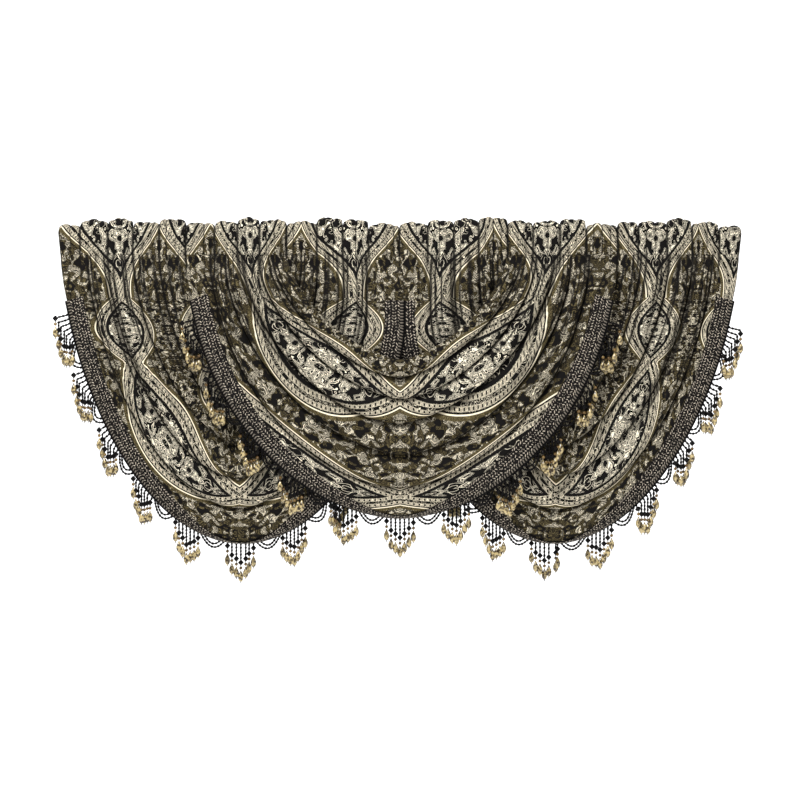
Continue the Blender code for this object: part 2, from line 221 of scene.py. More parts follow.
LEFT = Valance(
    name="left",
    axis=-0.391,
    hem_left=(1.92, 1.62),
    hem_right=(1.90, 1.55),
    straight=(0.0, 0.180),
    overlap=(0.0, 0.009),
    lean=(0.0, 0.006),
    creases=table_of(
        Crease,
        (0.128, 0.114, 0.446, 0.000, 0.000, 0.000),
        (0.198, 0.150, 0.499, 0.020, 0.012, 0.004),
        (0.262, 0.188, 0.555, 0.024, 0.016, -0.006),
        (0.323, 0.252, 0.635, 0.025, 0.018, 0.008),
        (0.372, 0.306, 0.708, 0.022, 0.016, 0.003),
        (0.4325, 0.3900, 0.7958, 0.014, 0.012, 0.000),
    ),
    sleeves=(
        Sleeve(-0.838, (0.0085, 0.0), table_of(
            Head,
            (0.056, 0.018, (0.55,)),
            (0.068, 0.007, (0.30, 0.66)),
            (0.061, 0.004, (0.24, 0.52, 0.80)),
            (0.064, 0.011, (0.38, 0.70)),
            (0.064, 0.004, (0.28, 0.62)),
        )),
        Sleeve(-0.277, (0.0, 0.0), table_of(
            Head,
            (0.074, 0.011, (0.22, 0.48, 0.76)),
            (0.063, 0.001, (0.34, 0.64)),
            (0.063, 0.006, (0.50,)),
            (0.075, 0.016, (0.26, 0.58, 0.82)),
        )),
    ),
    hidden=(0, 2),
    fringe_shift=0.0,
    gathers=table_of(
        Gather,
        (0.30, 0.0050, 0.20, 0.42, 0.36), (0.66, 0.0060, 0.22, 0.66, 0.50),
        (1.28, 0.0060, 0.20, 0.80, 0.44), (1.56, 0.0045, 0.16, 0.38, 0.58),
        (1.80, 0.0050, 0.16, 0.52, 0.30), (2.24, 0.0060, 0.18, 0.64, 0.50),
        (2.52, 0.0050, 0.18, 0.44, 0.66), (2.78, 0.0055, 0.18, 0.72, 0.38),
        (3.26, 0.0060, 0.20, 0.84, 0.54), (3.54, 0.0045, 0.16, 0.40, 0.36),
        (3.80, 0.0055, 0.18, 0.58, 0.46), (4.26, 0.0050, 0.18, 0.66, 0.42),
        (4.52, 0.0040, 0.16, 0.44, 0.34),
    ),
    columns_left=((0.0, -0.65), (1.0, 0.0), (2.5, 1.0), (5.0, 2.0)),
    columns_right=((0.0, -0.3), (1.0, 0.0), (3.55, 1.0), (5.0, 2.0)),
    **OUTER,
)

CENTRE = Valance(
    name="centre",
    axis=0.0,
    stand=0.054,
    release=0.050,
    roll=0.84,
    neck_round=(1.50, 1.55),
    hem_left=(1.80, 2.00),
    hem_right=(1.80, 2.00),
    straight=(0.0, 0.0),
    overlap=(0.0, 0.0),
    lean=(0.0, 0.0),
    flare=0.0104,
    creases=table_of(
        Crease,
        (0.277, 0.262, 0.344, 0.000, 0.000, 0.000),
        (0.313, 0.298, 0.390, 0.022, 0.016, 0.003),
        (0.347, 0.334, 0.441, 0.024, 0.015, -0.004),
        (0.385, 0.377, 0.502, 0.026, 0.018, 0.006),
        (0.425, 0.416, 0.577, 0.027, 0.020, -0.005),
        (0.458, 0.457, 0.657, 0.022, 0.018, 0.004),
        (0.5135, 0.521, 0.7327, 0.014, 0.012, 0.000),
    ),
    sleeves=(
        Sleeve(-0.5237, (0.0, 0.0), table_of(
            Head,
            (0.0706, 0.013, (0.30, 0.64)),
            (0.0557, 0.010, (0.52,)),
            (0.0537, 0.002, (0.36, 0.70)),
            (0.0654, 0.006, (0.26, 0.56, 0.80)),
        )),
        Sleeve(0.2638, (0.0, 0.0), table_of(
            Head,
            (0.0618, 0.009, (0.40, 0.72)),
            (0.0658, 0.009, (0.25, 0.55)),
            (0.0639, 0.004, (0.34, 0.62)),
            (0.0764, 0.016, (0.22, 0.50, 0.78)),
        )),
    ),
    hidden=(0, 0),
    fringe_shift=0.0,
    gathers=table_of(
        Gather,
        (0.36, 0.0050, 0.22, 0.40, 0.48), (0.70, 0.0055, 0.22, 0.60, 0.52),
        (1.30, 0.0055, 0.20, 0.74, 0.60), (1.64, 0.0050, 0.20, 0.46, 0.70),
        (2.28, 0.0055, 0.20, 0.56, 0.78), (2.60, 0.0045, 0.18, 0.36, 0.42),
        (2.84, 0.0050, 0.16, 0.66, 0.50), (3.26, 0.0060, 0.18, 0.82, 0.56),
        (3.52, 0.0045, 0.16, 0.42, 0.36), (3.78, 0.0055, 0.18, 0.58, 0.72),
        (4.26, 0.0060, 0.18, 0.54, 0.84), (4.54, 0.0045, 0.16, 0.38, 0.46),
        (4.80, 0.0055, 0.16, 0.68, 0.50), (5.24, 0.0050, 0.18, 0.60, 0.56),
        (5.50, 0.0040, 0.16, 0.42, 0.40),
    ),
    columns_left=((0.0, 0.0), (2.5, 1.0), (5.1, 2.0), (6.0, 2.5)),
    columns_axis=((0.0, 0.1), (1.9, 1.0), (4.0, 2.0), (5.35, 3.0), (6.0, 3.5)),
    columns_right=((0.0, 0.1), (2.6, 1.0), (5.4, 2.0), (6.0, 2.3)),
    repeats=((0.0, 1.40), (0.195, 1.0)),
)

RIGHT = Valance(
    name="right",
    axis=0.382,
    hem_left=(1.90, 1.55),
    hem_right=(1.85, 1.66),
    straight=(0.180, 0.0),
    overlap=(0.009, 0.0),
    lean=(-0.004, 0.0),
    creases=table_of(
        Crease,
        (0.1195, 0.1475, 0.442, 0.000, 0.000, 0.000),
        (0.156, 0.208, 0.494, 0.019, 0.013, -0.004),
        (0.188, 0.277, 0.560, 0.025, 0.015, 0.005),
        (0.247, 0.334, 0.628, 0.024, 0.018, -0.007),
        (0.303, 0.380, 0.712, 0.023, 0.016, -0.003),
        (0.3820, 0.440, 0.7958, 0.014, 0.012, 0.000),
    ),
    sleeves=(
        Sleeve(-0.0007, (0.0, 0.0), table_of(
            Head,
            (0.0686, 0.013, (0.30, 0.60)),
            (0.0636, 0.007, (0.46, 0.74)),
            (0.0607, 0.004, (0.28, 0.58)),
            (0.0703, 0.000, (0.24, 0.50, 0.78)),
        )),
        Sleeve(0.533, (0.0, 0.0095), table_of(
            Head,
            (0.050, 0.011, (0.50,)),
            (0.070, 0.010, (0.27, 0.60)),
            (0.061, 0.004, (0.35, 0.66)),
            (0.066, 0.012, (0.24, 0.55, 0.80)),
            (0.058, 0.021, (0.44,)),
        )),
    ),
    hidden=(2, 0),
    fringe_shift=-0.018,
    gathers=table_of(
        Gather,
        (0.32, 0.0050, 0.20, 0.38, 0.46), (0.68, 0.0060, 0.22, 0.50, 0.70),
        (1.26, 0.0060, 0.20, 0.46, 0.82), (1.54, 0.0045, 0.16, 0.60, 0.36),
        (1.82, 0.0050, 0.16, 0.34, 0.54), (2.26, 0.0060, 0.18, 0.54, 0.62),
        (2.52, 0.0050, 0.18, 0.62, 0.42), (2.78, 0.0055, 0.18, 0.40, 0.74),
        (3.24, 0.0060, 0.20, 0.52, 0.86), (3.52, 0.0045, 0.16, 0.38, 0.44),
        (3.78, 0.0055, 0.18, 0.48, 0.60), (4.24, 0.0050, 0.18, 0.40, 0.64),
        (4.50, 0.0040, 0.16, 0.36, 0.46),
    ),
    columns_left=((0.0, -0.3), (0.9, 0.0), (3.65, 1.0), (5.0, 1.9)),
    columns_right=((0.0, 0.1), (1.5, 1.0), (3.3, 2.0), (5.0, 3.1)),
    **OUTER,
)
VALANCES = (LEFT, CENTRE, RIGHT)
print("heads:", sum(len(sleeve.heads) for v in VALANCES for sleeve in v.sleeves))

# %% [markdown]
# ## How the cloth falls
#
# A point of the cloth has three numbers: the fold it is in, its share of that fold's width,
# and a turn that goes from 0 at the left heading over a right angle on the axis to a half
# turn at the right heading. Moving the points of a flat grid to places worked out from these
# numbers gives long clean folds. Cloth simulation could find them too, but it would not
# stop at the same creases as the real valance, and it would be slow for three of them.

# %% Where a point of the cloth hangs
HEADING = 0.0911
SEAM_GAP = 0.0008
SEAM_STAND = 0.0090
SEAM_RELIEF = 0.0065
NECK_START = 0.22
LOW_RIDGE = 1.5
HEM_EASE = 0.35
CURL = 0.040
CURL_SPREAD = 8
LIP = 0.0120
FLARE_DROP = 0.1500
KNEE = 0.20
BRAID_WIDTH = 0.0425
LEAST_BAND = 1.2
FOLD_CRISP = 0.55
RIDGE_MORE = 1.25
OVERLAP_DROP = 0.0500


def blend(low, high, share):
    """A value part of the way from low to high."""
    return low + (high - low) * share


def ease(share):
    """A soft step from 0 to 1."""
    held = min(max(share, 0.0), 1.0)
    return held * held * (3.0 - 2.0 * held)


def on_side(crease, turn):
    """A crease's distance from the axis at the heading, on the side that turn lies on."""
    return crease.left if turn < math.pi / 2 else crease.right


def fall_at(valance, depth, share, turn):
    """How far a crease has fallen from the heading, and the turn left for its U."""
    near = turn if turn < math.pi / 2 else math.pi - turn
    upright = valance.straight[turn > math.pi / 2] * share
    hem_round = valance.hem_left if turn < math.pi / 2 else valance.hem_right
    power_z = blend(valance.neck_round[1], hem_round[1], share)
    knee = KNEE * share if upright else 0.0
    near = max(near, 0.0)
    left = max(near - knee, 0.0) * (math.pi / 2) / (math.pi / 2 - knee)
    first = min(near / knee, 1.0) if knee else 0.0
    fall = upright * first + (depth - upright) * abs(math.sin(left)) ** (2.0 / power_z)
    return fall, left


def braid_share(valance, turn):
    """Where the braid starts, as a share of the way from the last crease to the hem."""
    inner, outer = valance.creases[-2:]
    wide = on_side(outer, turn) - on_side(inner, turn)
    low = outer.drop - inner.drop
    span = math.hypot(wide * math.cos(turn), low * math.sin(turn))
    shown = BRAID_WIDTH * (1.0 - valance.roll * math.sin(turn) ** (2 * CURL_SPREAD))
    return 1.0 - shown / max(span, BRAID_WIDTH * LEAST_BAND)


def relief(valance, band, across, turn):
    """The rounded section of a fold: 0 in its creases, 1 on its ridge."""
    high = math.sin(turn) ** 2
    if band == len(valance.creases) - 2:
        start = braid_share(valance, turn)
        if across < start:
            return math.sin(math.pi / 2 * across / start) ** FOLD_CRISP
        return 1.0 - HEM_EASE * (across - start) / (1.0 - start)
    if band == 0:
        across = blend(NECK_START, 1.0, across)
    wave = abs(math.sin(math.pi * across ** blend(1.0, LOW_RIDGE, high)))
    return wave**FOLD_CRISP


def on_cloth(valance, band, across, turn):
    """The point of the main folds at a share of a fold's width and a turn."""
    inner, outer = valance.creases[band : band + 2]
    neck, hem = valance.creases[0], valance.creases[-1]
    last = band == len(valance.creases) - 2
    rolled = math.sin(turn) ** (2 * CURL_SPREAD)
    under = 0.0
    if last:
        start = braid_share(valance, turn)
        under = max(across - start, 0.0) / (1.0 - start)
        bent = start + (1.0 - start) * math.sin(math.pi / 2 * under)
        across = blend(across, bent, rolled) if under else across
    reach = blend(on_side(inner, turn), on_side(outer, turn), across)
    wander = blend(inner.wander, outer.wander, across) * math.sin(2.0 * turn)
    drop = blend(inner.drop, outer.drop, across)
    share = (drop - neck.drop) / (hem.drop - neck.drop)
    hem_round = valance.hem_left if turn < math.pi / 2 else valance.hem_right
    power_x = blend(valance.neck_round[0], hem_round[0], share)
    fall, left = fall_at(valance, drop + wander - HEADING, share, turn)
    high = math.sin(left)
    reach = reach * abs(math.cos(left)) ** (2.0 / power_x)
    side = int(turn > math.pi / 2)
    passed = share**3 * ease(fall / OVERLAP_DROP)
    if valance.overlap[side]:
        reach += valance.overlap[side] * passed
    else:
        reach += valance.flare * share**3 * (1.0 - ease(fall / FLARE_DROP))
    x = valance.axis - math.copysign(reach, math.pi / 2 - turn)
    released = ease(fall / valance.release)
    ridge = relief(valance, band, across, turn)
    stands = blend(outer.side, outer.middle, high**2)
    forward = blend(SEAM_STAND, valance.stand, released)
    forward += blend(SEAM_RELIEF, stands * RIDGE_MORE, released) * ridge
    forward += valance.lean[side] * passed
    lowered = 0.0 if last else LIP * ridge * high
    forward -= CURL * rolled * (1.0 - math.cos(math.pi / 2 * under))
    return Vector((x, -forward, -(HEADING + SEAM_GAP + fall + lowered)))


# %% [markdown]
# ## Finer gathers
#
# Under a gathered heading the cloth has more creases than the main folds. Each one is sharp
# at the heading and dies out on its way to the axis, and no two are alike, so they are
# listed in a table. A short irregular ripple adds the small puckers that the
# gathering thread leaves. Both move the cloth backwards only by a few millimetres.

# %% Small creases and puckers
PUCKER = 0.0016
PUCKER_DROP = 0.13
SLACK = 0.0011


def fine_relief(valance, place, turn, fall):
    """How far the small creases press the cloth back, and how much shade is painted into them.
    """
    side = turn / (math.pi / 2) if turn < math.pi / 2 else 2.0 - turn / (math.pi / 2)
    pressed = 0.0
    painted_shade = 0.0
    for gather in valance.gathers:
        reach = gather.left if turn < math.pi / 2 else gather.right
        drift = 0.09 * math.sin(3.0 * side + 9.0 * gather.place)
        near = abs(place - gather.place - drift) / gather.wide
        if near < 1.0 and side < reach:
            fading = ease(1.6 * (reach - side) / reach)
            pressed += gather.deep * (1.0 - near) ** 2 * fading
            # Painted shade in the small crease, strongest at its middle and fading towards the
            # axis
            painted_shade = max(painted_shade, (1.0 - near / 0.42) * fading)
    # Waves of lengths that never meet, so that no pucker comes back
    ripple = math.sin(23.0 * place + 2.0 * valance.axis) + math.sin(37.0 * place + 1.3)
    pressed += PUCKER * ripple * (1.0 - ease(fall / PUCKER_DROP))
    across = math.sin(9.0 * turn + 5.0 * place) * math.sin(15.0 * turn - 3.0 * place)
    return pressed + SLACK * across * ease(fall / PUCKER_DROP), painted_shade


# %% [markdown]
# ## The flat pattern under the folds
#
# A printed or woven pattern has to follow the cloth round its folds. Two UV maps carry it.
# "print" counts columns and repeats of the pattern, and lets the motifs be placed on the
# cascade as they lie on the real one. "threads" is in metres along and across the cloth, so
# that dots, fine scrolls and the weave keep one size everywhere.

# %% From a point of the cloth to its UV maps
HEADING_REPEAT = 0.48
GATHER_RATIO = 1.40
FOLD_TAKE_UP = 1.25
TURN_STEPS = 250
FOLD_STEPS = 16
TUCK = 0.0090
TUCK_AT_SEAM = 0.0054
TUCK_REACH = 0.45


def column_at(valance, place, turn):
    """The pattern's column at a place across the folds."""
    table = valance.columns_left if turn < math.pi / 2 else valance.columns_right
    heading = np.interp(place, *zip(*table))
    axis = np.interp(place, *zip(*valance.columns_axis))
    return float(blend(heading, axis, math.sin(turn) ** 2))


def threads_at(valance, place, turn):
    """The developed width from the neckline to a place across the folds."""
    numbers = range(len(valance.creases))
    neck = valance.creases[0]
    side = np.interp(place, numbers, [on_side(c, turn) for c in valance.creases])
    drop = np.interp(place, numbers, [c.drop for c in valance.creases])
    gathered = (side - on_side(neck, turn)) * GATHER_RATIO
    hung = (drop - neck.drop) * FOLD_TAKE_UP
    return float(blend(gathered, hung, math.sin(turn) ** 2))


def lengths_from_axis(points, middle):
    """Signed lengths along a line of points, 0 at its middle one."""
    steps = [0.0]
    for first, second in zip(points, points[1:]):
        steps.append(steps[-1] + (second - first).length)
    return [length - steps[middle] for length in steps]


def repeats_along(valance, points, lengths, middle):
    """Pattern repeats along a fold. Near the heading they keep level with the rod, and from
    there they are spread evenly to the axis."""
    heights, counts = zip(*valance.repeats)
    found = [0.0] * len(points)
    for way in (-1, 1):
        at = middle
        while 0 < at < len(points) - 1 and -points[at + way].z > heights[-1]:
            at += way
        whole = max(abs(lengths[at]), 0.001)
        for index in range(middle, -1 if way < 0 else len(points), way):
            if abs(lengths[index]) <= whole:
                found[index] = counts[-1] * abs(lengths[index]) / whole
            else:
                found[index] = float(np.interp(-points[index].z, heights, counts))
    return found


# %% A sheet of cloth from columns of points
def sheet_of(columns, prints, threads, painted_shades=None):
    """A grid whose points move to their places, with the two UV maps of the cloth. The last
    list gives the shade painted on each point where it lies in a crease."""
    bm = bmesh.new()
    bmesh.ops.create_grid(
        bm, x_segments=len(columns) - 1, y_segments=len(columns[0]) - 1, size=1.0
    )
    bm.verts.ensure_lookup_table()
    for vert, place in zip(bm.verts, [p for row in zip(*columns) for p in row]):
        vert.co = place
    # A point attribute carries the painted crease shade to the cloth's material
    if painted_shades:
        deep = bm.verts.layers.float.new("painted_shade")
        for vert, value in zip(bm.verts, [v for row in zip(*painted_shades) for v in row]):
            vert[deep] = value
    for name, values in (("print", prints), ("threads", threads)):
        layer = bm.loops.layers.uv.new(name)
        flat = [value for row in zip(*values) for value in row]
        for face in bm.faces:
            for loop in face.loops:
                loop[layer].uv = flat[loop.vert.index]
    bm.normal_update()
    return bm


def thicken(obj, thickness):
    """Gives a sheet its thickness, half to each side."""
    wall = obj.modifiers.new("thickness", "SOLIDIFY")
    wall.thickness = thickness
    wall.offset = 0.0
    wall.use_quality_normals = True


# %% [markdown]
# ## The damask cloth
#
# The cloth is a jacquard: cream, olive and black yarns change places to draw ogee
# medallions, framed by a cream band with small dark dots. The medallions stand in columns,
# half a repeat apart, black ones beside olive ones, and are filled with mirrored scrolls and
# leaves. An image could carry this, but maths in nodes stays sharp at any distance: a cosine
# gives the frames, and a noise read from mirrored coordinates gives leaves that match on
# both sides of each column.


# %% Short names for node maths
class Nodes:
    """Adds nodes to a material's tree, and gives back their output sockets."""

    def __init__(self, tree):
        self.tree = tree

    def put(self, socket, value):
        if isinstance(value, bpy.types.NodeSocket):
            self.tree.links.new(value, socket)
        else:
            socket.default_value = value

    def maths(self, operation, *values):
        node = self.tree.nodes.new("ShaderNodeMath")
        node.operation = operation
        for socket, value in zip(node.inputs, values):
            self.put(socket, value)
        return node.outputs[0]

    def times(self, first, second):
        return self.maths("MULTIPLY", first, second)

    def plus(self, first, second):
        return self.maths("ADD", first, second)

    def minus(self, first, second):
        return self.maths("SUBTRACT", first, second)

    def rest(self, value):
        """What the value leaves of 1."""
        return self.minus(1.0, value)

    def most(self, first, second):
        return self.maths("MAXIMUM", first, second)

    def step(self, value, low, high):
        """0 under low, 1 over high, soft between them."""
        node = self.tree.nodes.new("ShaderNodeMapRange")
        node.interpolation_type = "SMOOTHSTEP"
        self.put(node.inputs["Value"], value)
        node.inputs["From Min"].default_value = low
        node.inputs["From Max"].default_value = high
        return node.outputs["Result"]

    def near(self, value, middle, half, soft):
        """1 within half of the middle value, 0 away from it."""
        away = self.maths("ABSOLUTE", self.minus(value, middle))
        return self.rest(self.step(away, half, half + soft))

    def blend(self, share, first, second):
        """A number part of the way from the first to the second."""
        return self.plus(first, self.times(self.minus(second, first), share))

    def mixed(self, share, first, second):
        node = self.tree.nodes.new("ShaderNodeMix")
        node.data_type = "RGBA"
        self.put(node.inputs[0], share)
        self.put(node.inputs[6], first)
        self.put(node.inputs[7], second)
        return node.outputs[2]

    def point(self, x, y, z=0.0):
        node = self.tree.nodes.new("ShaderNodeCombineXYZ")
        for socket, value in zip(node.inputs, (x, y, z)):
            self.put(socket, value)
        return node.outputs[0]

    def map_of(self, name):
        """The two numbers of a UV map."""
        node = self.tree.nodes.new("ShaderNodeUVMap")
        node.uv_map = name
        parts = self.tree.nodes.new("ShaderNodeSeparateXYZ")
        self.tree.links.new(node.outputs["UV"], parts.inputs[0])
        return parts.outputs[0], parts.outputs[1]

    def noise(self, vector, scale, detail=0.0, distortion=0.0):
        node = self.tree.nodes.new("ShaderNodeTexNoise")
        self.put(node.inputs["Vector"], vector)
        node.inputs["Scale"].default_value = scale
        node.inputs["Detail"].default_value = detail
        node.inputs["Distortion"].default_value = distortion
        return node.outputs[0]

    def bump(self, height, distance, strength=1.0, under=None):
        node = self.tree.nodes.new("ShaderNodeBump")
        node.inputs["Strength"].default_value = strength
        node.inputs["Distance"].default_value = distance
        self.put(node.inputs["Height"], height)
        if under is not None:
            self.put(node.inputs["Normal"], under)
        return node.outputs[0]


def new_finish(name, roughness):
    """A Principled material, its shader and a Nodes helper for its tree."""
    material = bpy.data.materials.new(name)
    material.use_nodes = True
    shader = material.node_tree.nodes["Principled BSDF"]
    shader.inputs["Roughness"].default_value = roughness
    return material, shader, Nodes(material.node_tree)


# %% The damask finish
CREAM = (0.930, 0.830, 0.620, 1.0)
PALE = (0.950, 0.865, 0.670, 1.0)
OLIVE = (0.152, 0.119, 0.052, 1.0)
TAN = (0.330, 0.270, 0.170, 1.0)
BLACK = (0.0040, 0.0034, 0.0030, 1.0)
FRAME_TO = 0.118
LINE_TO = 0.142
RIM_TO = 0.160
# At the rod a black medallion is this wide at its middle, and this much wider in its wave
ROD_WIDE, ROD_WAVE, ROD_RIPPLE = 0.5, 0.46, -0.035
# On the drape it opens this far from closed, the second one less
SLIM_SHUT, SLIM_OPEN, SLIM_LESS = 0.96, 0.54, 0.08
OLIVE_RIM_MORE = 0.05
LEAVES_ACROSS, LEAVES_ALONG = 5.0, 13.0
DOTS_AT = 0.066
DOT_PITCH = 0.0135
LEAF_SCALE = 1.6
SCROLL_SCALE = 44.0
FINE_SCALE = 82.0
WARP_PITCH = 0.0011
WEFT_PITCH = 0.0013
# How far the painted crease shade goes towards black
CREASE_SHADE = 0.94


def damask():
    """The woven cloth: frames, medallions, leaves, scrolls, dots and yarn."""
    material, shader, n = new_finish("damask_cloth", 0.72)
    shader.inputs["Specular IOR Level"].default_value = 0.12
    column, repeat = n.map_of("print")
    along, across = n.map_of("threads")

    # Signed distance from the frames: under 0 beside olive medallions, over 0 beside black.
    # The black ones are long and slim on the drape, and wide at the rod.
    apart = n.maths("PINGPONG", column, 1.0)
    wave = n.maths("COSINE", n.times(repeat, 2.0 * math.pi))
    finer = n.maths("COSINE", n.times(repeat, 6.0 * math.pi))
    wide = n.plus(n.times(wave, ROD_WAVE), ROD_WIDE)
    wide = n.plus(wide, n.times(finer, ROD_RIPPLE))
    bow = n.maths("ABSOLUTE", n.maths("SINE", n.times(repeat, math.pi)))
    small = n.times(n.maths("LESS_THAN", repeat, -1.0), SLIM_LESS)
    slim = n.times(bow, n.minus(small, SLIM_OPEN))
    slim = n.plus(slim, SLIM_SHUT)
    on_drape = n.maths("GREATER_THAN", repeat, -2.0)
    on_drape = n.times(on_drape, n.maths("LESS_THAN", repeat, 1.0))
    half = n.blend(on_drape, wide, slim)
    signed = n.minus(apart, half)
    away = n.maths("ABSOLUTE", signed)
    dark_side = n.step(signed, -0.01, 0.01)

    # Leaves, mirrored about every column and every repeat
    folded = n.maths("PINGPONG", repeat, 0.5)
    leaf_point = n.point(n.times(apart, LEAVES_ACROSS), n.times(folded, LEAVES_ALONG))
    leaf = n.noise(leaf_point, LEAF_SCALE, detail=0.0, distortion=1.2)

    # Fine scrolls in two sizes, read from the place on the object so that they stay even
    coords = n.tree.nodes.new("ShaderNodeTexCoord")
    parts = n.tree.nodes.new("ShaderNodeSeparateXYZ")
    n.put(parts.inputs[0], coords.outputs["Object"])
    mirrored = n.point(n.maths("ABSOLUTE", parts.outputs[0]), parts.outputs[1], parts.outputs[2])
    scroll = n.noise(mirrored, SCROLL_SCALE, detail=0.0, distortion=1.1)
    rings = n.maths("PINGPONG", n.times(scroll, 6.0), 0.5)
    line = n.near(rings, 0.20, 0.135, 0.04)
    fine = n.noise(mirrored, FINE_SCALE, detail=0.0, distortion=1.2)
    fine_rings = n.maths("PINGPONG", n.times(fine, 4.6), 0.5)
    fine_line = n.near(fine_rings, 0.22, 0.140, 0.04)

    # Black medallion: a black rim, then pale leaves with dark veins on black
    vein = n.most(n.near(leaf, 0.610, 0.010, 0.008), n.near(leaf, 0.680, 0.010, 0.008))
    lobe = n.times(line, n.step(leaf, 0.570, 0.585))
    leaf_colour = n.mixed(n.most(vein, n.times(lobe, 0.80)), PALE, BLACK)
    rim = n.minus(away, n.times(n.rest(dark_side), OLIVE_RIM_MORE))
    inside = n.step(rim, RIM_TO, RIM_TO + 0.02)
    dark_leaf = n.times(n.step(leaf, 0.540, 0.550), inside)
    curl = n.near(leaf, 0.440, 0.009, 0.006)
    curl = n.times(curl, n.times(inside, 0.75))
    dark_ground = n.mixed(n.most(dark_leaf, curl), BLACK, leaf_colour)

    # Olive medallion: an olive rim with fine scrolls, then cream and tan leaves on olive
    fill = n.mixed(n.step(leaf, 0.350, 0.360), BLACK, OLIVE)
    fill = n.mixed(n.step(leaf, 0.490, 0.500), fill, TAN)
    fill = n.mixed(n.step(leaf, 0.510, 0.520), fill, CREAM)
    ink = n.most(line, n.near(leaf, 0.505, 0.008, 0.006))
    ink = n.most(ink, n.times(fine_line, 0.70))
    fill = n.mixed(n.times(ink, 0.95), fill, BLACK)
    rim_colour = n.mixed(n.times(fine_line, 0.80), OLIVE, BLACK)
    olive_ground = n.mixed(inside, rim_colour, fill)
    ground = n.mixed(dark_side, olive_ground, dark_ground)

    # Frames: cream with fine dark scrolls, and a row of small black dots down each side
    dots = n.near(n.maths("FRACT", n.times(along, 1.0 / DOT_PITCH)), 0.5, 0.15, 0.04)
    dots = n.times(dots, n.near(away, DOTS_AT, 0.020, 0.006))
    clear = n.near(away, DOTS_AT, 0.030, 0.012)
    scrolls = n.most(line, n.times(fine_line, 0.95))
    scrolls = n.times(scrolls, n.rest(n.times(clear, 0.35)))
    blot = n.times(n.step(scroll, 0.585, 0.600), n.rest(clear))
    band = n.mixed(n.most(n.most(dots, scrolls), blot), CREAM, BLACK)
    colour = n.mixed(n.step(away, FRAME_TO, FRAME_TO + 0.008), band, ground)
    colour = n.mixed(n.near(away, FRAME_TO + 0.004, 0.009, 0.006), colour, BLACK)
    edge = n.times(n.near(away, LINE_TO, 0.008, 0.006), n.rest(dark_side))
    colour = n.mixed(edge, colour, CREAM)

    # Deep creases hold less light, so shade is painted in: the colour darkens towards black
    # where a point attribute marks a crease or notch
    painted_shade = n.tree.nodes.new("ShaderNodeAttribute")
    painted_shade.attribute_name = "painted_shade"
    deep = n.times(n.step(painted_shade.outputs["Fac"], 0.0, 0.80), CREASE_SHADE)
    colour = n.mixed(deep, colour, BLACK)

    # The cream yarn floats over the ground, and the threads cross every millimetre or so
    tone = n.tree.nodes.new("ShaderNodeRGBToBW")
    n.put(tone.inputs[0], colour)
    warp = n.maths("SINE", n.times(along, 2.0 * math.pi / WARP_PITCH))
    weft = n.maths("SINE", n.times(across, 2.0 * math.pi / WEFT_PITCH))
    thread = n.times(warp, weft)
    raised = n.bump(tone.outputs[0], 0.0009, 0.5)
    normal = n.bump(thread, 0.00018, 0.4, under=raised)
    dull = n.minus(0.85, n.times(tone.outputs[0], 0.25))
    n.put(shader.inputs["Base Color"], colour)
    n.put(shader.inputs["Roughness"], dull)
    n.put(shader.inputs["Normal"], normal)
    return material


DAMASK = damask()
print("damask nodes:", len(DAMASK.node_tree.nodes))

# %% [markdown]
# ## The gathered headings
#
# Each heading is a sleeve for the rod. Where the cloth is pushed together on the rod it
# stands up in rounded heads with a notch between them, and each head has a few finer
# gathers. A section runs from the seam up the front, over the crown and down the back, and
# it changes from step to step along the rod: highest and fullest in the middle of a head,
# pulled in at the notch. A grid of those sections, closed along the seam, makes the sleeve.

# %% Sections of a sleeve
SLEEVE_HALF = 0.0135
SLEEVE_LOW = 0.0740
SLEEVE_HIGH = 0.0340
SLEEVE_SWELL = 0.0090
SEAM_PUFF = 0.70
LOW_PUFF = 0.75
CROWN_ROUND = 0.0050
CROWN_SHARE = 0.6
HEAD_NOTCH = 0.0140
HEAD_ROUND = 0.34
SWELL_ROUND = 0.55
HEAD_STEPS = 22
AROUND = 7
CROWN_WAVE = 0.0020
GATHER_DEEP = 0.0048
GATHER_WIDE = 0.0070
SLEEVE_MORE = 0.0005
NARROWS_OVER = 0.056
# How far from a crease or notch the painted shade reaches, in metres
CREASE_SHADE_REACH = 0.0060


def sleeve_section(top, swell, pressed):
    """The corners of one section, round from its seam: front, crown, back."""
    front = SLEEVE_HALF + swell - pressed
    shoulder = min(-SLEEVE_HIGH, top - 2.0 * CROWN_ROUND)
    return [
        (-(SEAM_STAND + 0.0035 + SEAM_PUFF * swell - pressed), -HEADING - 0.0012),
        (-(SLEEVE_HALF - 0.0005 + LOW_PUFF * swell - pressed), -SLEEVE_LOW),
        (-front, shoulder),
        (-CROWN_SHARE * front, top - CROWN_ROUND),
        (0.0, top),
        (CROWN_SHARE * SLEEVE_HALF, top - CROWN_ROUND),
        (SLEEVE_HALF, shoulder),
        (SLEEVE_HALF, -SLEEVE_LOW),
    ]


def rounded(corners, steps):
    """A smooth closed line through the corners, with a number of steps between each two."""
    count = len(corners)
    line = []
    for at in range(count):
        a, b, c, d = (Vector(corners[(at + k) % count]) for k in (-1, 0, 1, 2))
        for step in range(steps):
            t = step / steps
            sharp = 0.5 if 0 < at < count - 1 else 0.25
            start, end = (c - a) * sharp, (d - b) * sharp
            line.append(
                (2 * t**3 - 3 * t**2 + 1) * b
                + (t**3 - 2 * t**2 + t) * start
                + (3 * t**2 - 2 * t**3) * c
                + (t**3 - t**2) * end
            )
    return line


